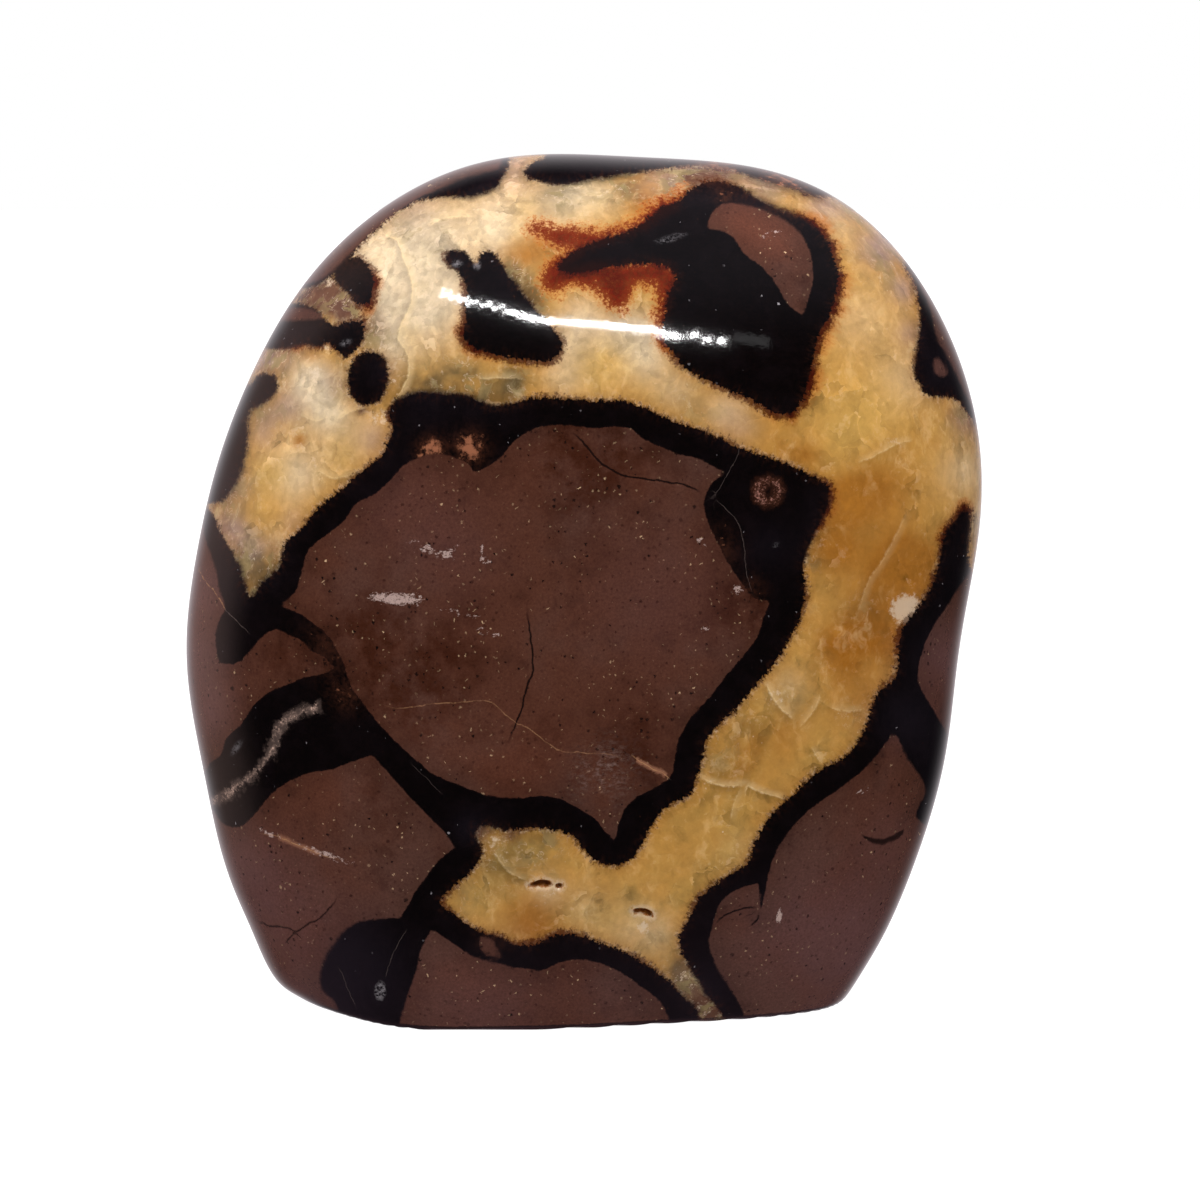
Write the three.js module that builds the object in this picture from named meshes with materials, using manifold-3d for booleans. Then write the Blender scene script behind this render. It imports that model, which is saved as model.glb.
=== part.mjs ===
// A septarian nodule: one solid pebble of mudstone and calcite, ground and polished all over,
// and standing on a small flat that is sawn across its lower end.
//
// Millimetres, +Z up, +X to the right and the show face towards -Y. The origin is on the sawn flat,
// under the middle of the stone's box.

import * as THREE from "three";
import { mergeVertices } from "three/addons/utils/BufferGeometryUtils.js";
import Module from "manifold-3d";

// Driving dimensions, mm.
const HEART_HEIGHT = 48; // the middle of the stone above its flat
const FRONT_BULGE = 25; // from the middle plane to the foremost point of the show face
const BACK_BULGE = 22; // from the middle plane to the rearmost point of the back
const ROUNDING = 2.6; // 2 is an ellipsoid; more gives a flatter face and a tighter edge

// The outline of the show face: radii from the middle, evenly spaced, starting at the right and going
// anticlockwise. The lower ones reach past the flat, which cuts them off.
const OUTLINE_RADII = [
  45.4, 48.5, 51.7, 54.3, 55.1, 52.8, // right side up to the right shoulder
  51.7, 52.1, 50.8, 48.5, 46.4, 45.6, // over the top and down the upper left
  46.4, 48.1, 51.0, 55.8, 59.2, 64.0, // left side down to the left heel
  61.6, 57.6, 57.4, 52.8, 48.3, 45.4, // under the stone and up the lower right
];

// The left heel, where that side turns under to the flat, is a tighter corner than the outline has.
const HEEL = { angle: 231, rise: 1.4, spread: 5 }; // degrees, mm, degrees

// The facets: how many cells the starting box has along each side, and that box's size.
const CELLS = { x: 26, y: 12, z: 30 };
const START_BOX = { x: 90, y: 46, z: 100 };

// The saw: a block this wide whose top face is the plane of the flat.
const SAW_WIDTH = 200;

const FULL_TURN = 2 * Math.PI;

// Radius of the outline at an angle, by the trigonometric curve that passes through all the radii.
function outlineRadius(angle) {
  const count = OUTLINE_RADII.length;
  let radius = 0;
  OUTLINE_RADII.forEach((value, index) => {
    const away = angle - (index * FULL_TURN) / count;
    const half = Math.tan(away / 2);
    const weight = Math.abs(half) < 1e-9 ? 1 : Math.sin((count * away) / 2) / (count * half);
    radius += value * weight;
  });
  const turns = (THREE.MathUtils.radToDeg(angle) - HEEL.angle) / 360;
  const spreads = ((turns - Math.round(turns)) * 360) / HEEL.spread;
  return radius + HEEL.rise * Math.exp(-(spreads ** 2));
}

// The point where a ray from the middle of the stone meets the polished surface.
function polishedPoint(direction) {
  const ray = direction.clone().normalize();
  const across = Math.hypot(ray.x, ray.z);
  const radius = outlineRadius(Math.atan2(ray.z, ray.x));
  const bulge = ray.y < 0 ? FRONT_BULGE : BACK_BULGE;
  const reach = (across / radius) ** ROUNDING + (Math.abs(ray.y) / bulge) ** ROUNDING;
  const point = ray.multiplyScalar(reach ** (-1 / ROUNDING));
  point.z += HEART_HEIGHT;
  return point;
}

// A geometry with only merged positions, which is what a solid needs.
function bare(geometry) {
  geometry.deleteAttribute("normal");
  geometry.deleteAttribute("uv");
  return mergeVertices(geometry);
}

// The whole pebble, before its lower end is sawn off.
function pebbleGeometry() {
  const geometry = bare(
    new THREE.BoxGeometry(START_BOX.x, START_BOX.y, START_BOX.z, CELLS.x, CELLS.y, CELLS.z)
  );
  const positions = geometry.getAttribute("position");
  const corner = new THREE.Vector3();
  for (let index = 0; index < positions.count; index += 1) {
    const point = polishedPoint(corner.fromBufferAttribute(positions, index));
    positions.setXYZ(index, point.x, point.y, point.z);
  }
  return geometry;
}

const wasm = await Module();
wasm.setup();

// A solid from a closed geometry.
function solidOf(geometry) {
  return new wasm.Manifold(
    new wasm.Mesh({
      numProp: 3,
      vertProperties: new Float32Array(geometry.getAttribute("position").array),
      triVerts: new Uint32Array(geometry.getIndex().array),
    })
  );
}

// A geometry from a solid.
function geometryOf(solid) {
  const mesh = solid.getMesh();
  const geometry = new THREE.BufferGeometry();
  geometry.setAttribute("position", new THREE.BufferAttribute(mesh.vertProperties, 3));
  geometry.setIndex(new THREE.BufferAttribute(mesh.triVerts, 1));
  return geometry;
}

// The stone: the pebble with its lower end sawn flat, centred over the origin.
function noduleGeometry() {
  const saw = bare(new THREE.BoxGeometry(SAW_WIDTH, SAW_WIDTH, SAW_WIDTH));
  saw.translate(0, 0, -SAW_WIDTH / 2);
  const geometry = geometryOf(solidOf(pebbleGeometry()).subtract(solidOf(saw)));
  geometry.computeBoundingBox();
  const middle = geometry.boundingBox.getCenter(new THREE.Vector3());
  geometry.translate(-middle.x, -middle.y, 0);
  geometry.computeVertexNormals();
  return geometry;
}

// Polished brown mudstone, the stone's main colour.
const polishedStone = new THREE.MeshStandardMaterial({
  color: new THREE.Color().setRGB(74 / 255, 46 / 255, 40 / 255, THREE.SRGBColorSpace),
  roughness: 0.18,
  metalness: 0,
});

const nodule = new THREE.Mesh(noduleGeometry(), polishedStone);
nodule.name = "septarian_nodule";

const group = new THREE.Group();
group.add(nodule);

export default group;
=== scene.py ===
"""A septarian nodule: one polished pebble of brown mudstone, split by black-edged veins of calcite.

The stone is one closed mesh, in metres, in the row's frame: +Z up and the show face towards -Y. Its
markings are outlines given in millimetres, one set for the show face and one for the back. Each
point of the mesh carries its distance from those outlines, and the finishes turn the distances into
mudstone, black rim, calcite, stains and hairlines.
"""

import logging
import math
from collections.abc import Iterable
from dataclasses import dataclass
from enum import Enum
from typing import TypeVar

import bpy
import numpy as np
from mathutils import Matrix, Vector

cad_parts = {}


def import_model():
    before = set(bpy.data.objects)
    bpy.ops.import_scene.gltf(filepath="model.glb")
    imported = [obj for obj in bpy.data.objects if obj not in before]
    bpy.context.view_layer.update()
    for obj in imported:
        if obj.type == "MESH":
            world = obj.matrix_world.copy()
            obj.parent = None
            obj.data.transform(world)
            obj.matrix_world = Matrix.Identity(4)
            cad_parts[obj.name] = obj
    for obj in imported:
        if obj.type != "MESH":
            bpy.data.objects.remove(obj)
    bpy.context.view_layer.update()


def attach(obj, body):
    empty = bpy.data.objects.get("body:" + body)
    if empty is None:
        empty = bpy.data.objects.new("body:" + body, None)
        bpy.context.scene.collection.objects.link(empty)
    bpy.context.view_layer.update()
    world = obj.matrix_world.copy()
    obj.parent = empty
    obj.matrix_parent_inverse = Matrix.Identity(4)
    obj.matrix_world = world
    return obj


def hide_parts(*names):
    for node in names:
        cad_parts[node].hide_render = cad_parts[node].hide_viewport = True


LOG = logging.getLogger("septarian_nodule")

MM = 0.001  # metres
STONE = "septarian_nodule"
BODY = "root"
CRUMBLE = 0.42  # mm that a speck's outline is shaken by
FAR = 40.0  # mm: further than any marking reaches
NEAR = 9.0  # mm: how near an outline a place has to be for a true measure
HAIRLINE_NEAR = 4.0  # mm: the same for a hairline
HALF_WAY = 0.5  # the share past which a point counts as lying on the back
TINY = 1e-9

Pair = tuple[float, float]
Triple = tuple[float, float, float]
Points = tuple[Pair, ...]
Colour = tuple[float, float, float, float]

MIDDLE_GREY: Triple = (0.5, 0.5, 0.5)  # what a noise's colour is on average
WHITE: Colour = (1.0, 1.0, 1.0, 1.0)

# The curve that screens use: straight up to the knee, and a power above it.
SCREEN_WHITE = 255
SCREEN_KNEE = 0.04045
SCREEN_SLOPE = 12.92
SCREEN_OFFSET = 0.055
SCREEN_POWER = 2.4

# What the mesh carries: sets of three numbers for each point, by the names that the finishes use.
CARRIED: dict[str, tuple[str, str, str]] = {
    "zones": ("mud", "calcite", "rust"),
    "foot": ("foot_across", "foot_up", "behind"),
    "edges": ("eye", "soft", "burnt"),
    "marks": ("ring", "smudge", "vug"),
    "tints": ("cream", "amber", "smoke"),
    "stains": ("frost", "red", "brown_rim"),
    "casts": ("straw", "lilac", "rosy"),
}
CARRIED_LINES = ("cracks", "threads", "gleams")  # sets that hold what is known of a hairline


def tone(red: int, green: int, blue: int) -> Colour:
    """Turn a screen colour into the linear colour that a shader takes.

    Args:
        red: Red on screen, 0 to 255.
        green: Green on screen, 0 to 255.
        blue: Blue on screen, 0 to 255.

    Returns:
        The linear colour, with a full alpha.
    """
    linear = []
    for part in (red, green, blue):
        share = part / SCREEN_WHITE
        bent = ((share + SCREEN_OFFSET) / (1 + SCREEN_OFFSET)) ** SCREEN_POWER
        linear.append(share / SCREEN_SLOPE if share < SCREEN_KNEE else bent)
    return (*linear, 1.0)


def eased(values: np.ndarray, low: float, high: float) -> np.ndarray:
    """Rise smoothly from 0 at low to 1 at high.

    Args:
        values: Any numbers.
        low: Where the rise begins.
        high: Where it ends.

    Returns:
        A share from 0 to 1 for each value.
    """
    share = np.clip((values - low) / (high - low), 0.0, 1.0)
    return share * share * (3.0 - 2.0 * share)


def smooth_path(points: Points, closed: bool, steps: int = 7) -> np.ndarray:
    """Run a centripetal curve through given points. A point given twice is a sharp corner.

    Args:
        points: The points, in order.
        closed: Whether the curve comes back to its first point.
        steps: How many pieces each stretch between two points is cut into.

    Returns:
        The curve's points, the first repeated at the end where it is closed.
    """
    knots = np.array(points, float)
    count = len(knots)
    path = []
    for index in range(count if closed else count - 1):
        here, there = knots[index], knots[(index + 1) % count]
        run = there - here
        if not run.any():
            continue
        before = knots[index - 1] if closed or index else here
        after = knots[(index + 2) % count] if closed or index + 2 < count else there
        legs = (here - before, run, after - there)
        lead_in, span, lead_out = (max(math.sqrt(np.linalg.norm(leg)), TINY) for leg in legs)
        leave, arrive = run, run
        if (here != before).any():
            leave = (run / span - (there - before) / (lead_in + span) + (here - before) / lead_in) * span
        if (after != there).any():
            arrive = ((after - there) / lead_out - (after - here) / (lead_out + span) + run / span) * span
        share = (np.arange(steps) / steps)[:, None]
        square, cube = share**2, share**3
        path.append(
            (2 * cube - 3 * square + 1) * here
            + (cube - 2 * square + share) * leave
            + (3 * square - 2 * cube) * there
            + (cube - square) * arrive
        )
    path.append(knots[:1] if closed else knots[-1:])
    return np.concatenate(path)


@dataclass
class Reach:
    """How a set of places lies to one line: all in millimetres.

    Attributes:
        away: Distance from the line, never negative.
        foot: The nearest spot on the line.
        side: +1 to the left of the line's run, -1 to its right.
        along: How far along the line the nearest spot is, from 0 to 1.
        inside: Whether the place is within the line, where it is closed.
    """

    away: np.ndarray
    foot: np.ndarray
    side: np.ndarray
    along: np.ndarray
    inside: np.ndarray

    @property
    def depth(self) -> np.ndarray:
        """Distance out from a closed line, negative within it."""
        return np.where(self.inside, -self.away, self.away)


def reach_of(path: np.ndarray, places: np.ndarray, margin: float = NEAR) -> Reach:
    """Measure many places against one line. Places well off it get only their distance from its box.

    Args:
        path: The line's points, in order.
        places: The places to measure.
        margin: How near the line's box a place has to be for a true measure.

    Returns:
        The measures.
    """
    low, high = path.min(0), path.max(0)
    outside = np.maximum(np.maximum(low - places, places - high), 0.0)
    away = np.hypot(outside[:, 0], outside[:, 1])
    near = np.flatnonzero(away < margin)
    close = places[near]
    best = np.full(len(near), np.inf)
    foot = close.copy()
    side = np.ones(len(near))
    along = np.zeros(len(near))
    inside = np.zeros(len(near), bool)
    pieces = len(path) - 1
    for index in range(pieces):
        start, end = path[index], path[index + 1]
        run = end - start
        span = run @ run
        if span < TINY:
            continue
        offset = close - start
        share = np.clip(offset @ run / span, 0.0, 1.0)
        gap = offset - share[:, None] * run
        square = (gap**2).sum(1)
        closer = square < best
        best[closer] = square[closer]
        foot[closer] = (close - gap)[closer]
        turn = run[0] * offset[:, 1] - run[1] * offset[:, 0]
        side[closer] = np.where(turn[closer] < 0, -1.0, 1.0)
        along[closer] = (index + share[closer]) / pieces
        spans_it = (start[1] > close[:, 1]) != (end[1] > close[:, 1])
        if run[1]:
            crossing = start[0] + run[0] * (close[:, 1] - start[1]) / run[1]
            inside ^= spans_it & (close[:, 0] < crossing)
    count = len(places)
    whole = Reach(away, places.copy(), np.ones(count), np.zeros(count), np.zeros(count, bool))
    found = Reach(np.sqrt(best), foot, side, along, inside)
    for name, values in vars(found).items():
        getattr(whole, name)[near] = values
    return whole


@dataclass
class Zone:
    """Distance out from the nearest of several outlines, negative within one, and where that outline is."""

    depth: np.ndarray
    foot: np.ndarray

    def joined(self, other: "Zone") -> "Zone":
        """Take whichever of two zones is the nearer, or the deeper within.

        Args:
            other: The other zone.

        Returns:
            The zone of both.
        """
        nearer = other.depth < self.depth
        foot = np.where(nearer[:, None], other.foot, self.foot)
        return Zone(np.where(nearer, other.depth, self.depth), foot)

    def turned(self) -> "Zone":
        """Swap what is within the zone and what is out of it."""
        return Zone(-self.depth, self.foot)


def zone_of(outlines: Iterable[Points], places: np.ndarray) -> Zone:
    """Measure many places against several closed outlines at once.

    Args:
        outlines: The outlines' points.
        places: The places to measure.

    Returns:
        The places' zone.
    """
    zone = Zone(np.full(len(places), FAR), places.copy())
    for points in outlines:
        reach = reach_of(smooth_path(points, closed=True), places)
        zone = zone.joined(Zone(reach.depth, reach.foot))
    return zone


def placed(name: str, data: bpy.types.ID) -> bpy.types.Object:
    """Put a new object into the scene.

    Args:
        name: Its name.
        data: Its mesh, lamp or camera.

    Returns:
        The object.
    """
    thing = bpy.data.objects.new(name, data)
    bpy.context.scene.collection.objects.link(thing)
    return thing


@dataclass(frozen=True)
class Viewpoint:
    """Where the show face is looked at from. The face's markings are laid out on the plane through the
    target that lies square to this view, in millimetres to the right of the target and up from it."""

    target: Triple = (2.0, 1.5, 48.6)  # mm
    elevation: float = 7.0  # degrees above the horizon
    distance: float = 380.0  # mm
    width: float = 142.52  # mm of the target's plane that the picture is wide
    sensor: float = 36.0  # mm
    clip_end: float = 20.0  # metres

    @property
    def back(self) -> np.ndarray:
        """The direction from the target to the eye."""
        rise = math.radians(self.elevation)
        return np.array([0.0, -math.cos(rise), math.sin(rise)])

    @property
    def up(self) -> np.ndarray:
        """The upward direction on the layout plane."""
        rise = math.radians(self.elevation)
        return np.array([0.0, math.sin(rise), math.cos(rise)])

    @property
    def eye(self) -> np.ndarray:
        """The eye's place, in millimetres."""
        return np.array(self.target) + self.distance * self.back

    def laid_out(self, points: np.ndarray) -> np.ndarray:
        """Find where points are seen on the layout plane.

        Args:
            points: Points in the row's frame, in millimetres.

        Returns:
            Places on the plane.
        """
        offset = points - self.eye
        nearness = self.distance / -(offset @ self.back)
        return np.stack([offset[:, 0] * nearness, offset @ self.up * nearness], 1)

    def build(self) -> bpy.types.Object:
        """Make the scene's camera.

        Returns:
            The camera's object.
        """
        data = bpy.data.cameras.new("viewpoint")
        data.sensor_width = self.sensor
        data.lens = self.sensor * self.distance / self.width
        data.clip_end = self.clip_end
        camera = placed("viewpoint", data)
        camera.location = Vector(self.eye) * MM
        camera.rotation_euler = Vector(-self.back).to_track_quat("-Z", "Y").to_euler()
        bpy.context.scene.camera = camera
        return camera


@dataclass(frozen=True)
class Heel:
    """A tighter corner where one side turns under to the flat."""

    angle: float  # degrees round from the right
    rise: float  # mm
    spread: float  # degrees


@dataclass(frozen=True)
class Corner:
    """A fuller place on the surface, in the direction that it lies from the middle of the stone."""

    towards: Triple
    rise: float  # as a share of the distance from the middle
    spread: float  # degrees


@dataclass(frozen=True)
class Form:
    """The pebble's shape: an outline seen square on, bulging to the front and to the back."""

    heart_height: float = 48.0  # mm, the middle of the stone above its flat
    front_bulge: float = 25.0
    back_bulge: float = 22.0
    rounding: float = 2.6  # 2 is an ellipsoid; more gives a flatter face and a tighter edge
    heels: tuple[Heel, ...] = (Heel(231.0, 1.4, 5.0), Heel(232.5, 0.25, 2.5), Heel(301.5, 0.7, 4.0))
    corner: Corner = Corner((-20.0, -21.0, -48.0), 0.05, 9.0)
    edge_radius: float = 0.4  # mm over which the sawn flat's edge is eased
    outline_radii: tuple[float, ...] = (
        45.4, 48.5, 51.7, 54.3, 55.1, 52.8,  # right side up to the right shoulder
        51.7, 52.1, 50.8, 48.5, 46.4, 45.6,  # over the top and down the upper left
        46.4, 48.1, 51.0, 55.8, 59.2, 64.0,  # left side down to the left heel
        61.6, 57.6, 57.4, 52.8, 48.3, 45.4,  # under the stone and up the lower right
    )

    def outline_radius(self, angle: np.ndarray) -> np.ndarray:
        """Give the outline's radius by the trigonometric curve that passes through all the radii.

        Args:
            angle: Angles round the middle, in radians.

        Returns:
            Radii in millimetres.
        """
        count = len(self.outline_radii)
        radius = np.zeros_like(angle)
        for index, value in enumerate(self.outline_radii):
            away = angle - index * math.tau / count
            half = np.tan(away / 2)
            level = np.abs(half) < TINY
            safe = np.where(level, 1.0, half)
            radius += value * np.where(level, 1.0, np.sin(count * away / 2) / (count * safe))
        for heel in self.heels:
            turns = (np.degrees(angle) - heel.angle) / 360
            spreads = (turns - np.round(turns)) * 360 / heel.spread
            radius += heel.rise * np.exp(-(spreads**2))
        return radius

    def polished(self, directions: np.ndarray) -> np.ndarray:
        """Find where rays from the middle of the stone meet its surface.

        Args:
            directions: The rays' directions, of any length.

        Returns:
            Points in millimetres, with the flat at height 0.
        """
        rays = directions / np.linalg.norm(directions, axis=1, keepdims=True)
        across = np.hypot(rays[:, 0], rays[:, 2])
        radius = self.outline_radius(np.arctan2(rays[:, 2], rays[:, 0]))
        bulge = np.where(rays[:, 1] < 0, self.front_bulge, self.back_bulge)
        reach = (across / radius) ** self.rounding + (np.abs(rays[:, 1]) / bulge) ** self.rounding
        length = reach ** (-1 / self.rounding)
        towards = np.array(self.corner.towards) / np.linalg.norm(self.corner.towards)
        away = np.degrees(np.arccos(np.clip(rays @ towards, -1.0, 1.0))) / self.corner.spread
        length *= 1.0 + self.corner.rise * np.exp(-(away**2))
        drop = np.maximum(-rays[:, 2], TINY)
        to_flat = self.heart_height / drop
        meeting = np.maximum(self.edge_radius - np.abs(length - to_flat), 0.0) / self.edge_radius
        length = np.minimum(length, to_flat) - meeting**2 * self.edge_radius / 4
        points = rays * length[:, None]
        points[:, 2] += self.heart_height
        return points


@dataclass(frozen=True)
class Cuts:
    """Where one side of the starting box is cut: an even step, with a finer one across a few spans."""

    length: float  # mm
    step: float
    fine_spans: tuple[Pair, ...] = ()
    fine_step: float = 0.24
    run_in: float = 1.0  # mm over which one step passes to the other
    ruler_marks: int = 2001

    def lines(self) -> np.ndarray:
        """Space the cuts along the side.

        Returns:
            The cuts' places, from one end of the side to the other.
        """
        half = self.length / 2
        ruler = np.linspace(-half, half, self.ruler_marks)
        density = np.full(len(ruler), 1 / self.step)
        for low, high in self.fine_spans:
            share = eased(ruler, low - self.run_in, low) * (1 - eased(ruler, high, high + self.run_in))
            density += share * (1 / self.fine_step - 1 / self.step)
        passed = np.concatenate([[0.0], np.cumsum((density[1:] + density[:-1]) / 2 * np.diff(ruler))])
        count = round(passed[-1])
        return np.interp(np.linspace(0, passed[-1], count + 1), passed, ruler)


class Side(Enum):
    """The six sides of the starting box: the axis each faces, which end of it, and its patch of the map."""

    FRONT = (1, 0, (0.004, 0.004, 0.616, 0.656))
    BACK = (1, 1, (0.624, 0.004, 0.996, 0.400))
    LEFT = (0, 0, (0.624, 0.408, 0.806, 0.790))
    RIGHT = (0, 1, (0.814, 0.408, 0.996, 0.790))
    UNDER = (2, 0, (0.624, 0.798, 0.996, 0.996))
    TOP = (2, 1, (0.004, 0.664, 0.616, 0.996))

    @property
    def axis(self) -> int:
        """The axis that the side faces along."""
        return self.value[0]

    @property
    def far_end(self) -> bool:
        """Whether the side is at the high end of its axis."""
        return bool(self.value[1])

    @property
    def patch(self) -> tuple[float, float, float, float]:
        """Left, low, right and high edge of the side's patch on the texture map."""
        return self.value[2]


@dataclass
class Shell:
    """A closed shell of four-cornered faces over the whole box, with each corner's place on the map."""

    directions: np.ndarray
    faces: np.ndarray
    map_places: np.ndarray


def box_shell(cuts: tuple[np.ndarray, np.ndarray, np.ndarray]) -> Shell:
    """Cut the starting box's six sides into faces that share their corners.

    Args:
        cuts: Where the box is cut along X, Y and Z.

    Returns:
        The shell.
    """
    counts = [len(lines) for lines in cuts]
    corners, places = [], []
    for side in Side:
        first, second = [axis for axis in range(3) if axis != side.axis]
        rows, columns = np.indices((counts[first] - 1, counts[second] - 1)).reshape(2, -1)
        ring = [(0, 0), (1, 0), (1, 1), (0, 1)]
        if (side.axis == 1) == side.far_end:
            ring.reverse()
        left, low, right, high = side.patch
        for row_step, column_step in ring:
            at = np.zeros((len(rows), 3), int)
            at[:, first] = rows + row_step
            at[:, second] = columns + column_step
            at[:, side.axis] = (counts[side.axis] - 1) * side.far_end
            corners.append(at)
            across = (rows + row_step) / (counts[first] - 1)
            along = (columns + column_step) / (counts[second] - 1)
            places.append(np.stack([left + (right - left) * across, low + (high - low) * along], 1))
    lattice, mapped = (
        np.concatenate([np.stack(parts[start : start + 4], 1) for start in range(0, len(parts), 4)])
        for parts in (corners, places)
    )
    keys = (lattice[..., 0] * counts[1] + lattice[..., 1]) * counts[2] + lattice[..., 2]
    unique, faces = np.unique(keys.ravel(), return_inverse=True)
    spots = (unique // (counts[1] * counts[2]), unique // counts[2] % counts[1], unique % counts[2])
    directions = np.stack([lines[spot] for lines, spot in zip(cuts, spots)], 1)
    return Shell(directions, faces.reshape(-1, 4), mapped.reshape(-1, 2))


@dataclass(frozen=True)
class Hairline:
    """A line thinner than the mesh: a crack, a pale thread or a gleaming cleavage line."""

    points: Points
    strength: float = 1.0
    fade: float = 0.15  # the share of its length over which each end dies away


@dataclass(frozen=True)
class Smudge:
    """A worn or frosted spot, longer than it is high."""

    centre: Pair
    length: float
    height: float
    tilt: float = 0.0  # degrees


@dataclass(frozen=True)
class Tint:
    """A soft-edged spot where the stone leans to another colour."""

    centre: Pair
    reach: float
    strength: float = 1.0


Mark = TypeVar("Mark", Smudge, Tint)


def each(kind: type[Mark], *rows: tuple[float, ...]) -> tuple[Mark, ...]:
    """Make one mark of each row: how far across and up its middle lies, and then its other sizes."""
    return tuple(kind(row[:2], *row[2:]) for row in rows)


@dataclass(frozen=True)
class Ring:
    """A small ring of crystals that shows in the black."""

    centre: Pair = (20.0, 11.6)
    radius: float = 1.25


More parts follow.
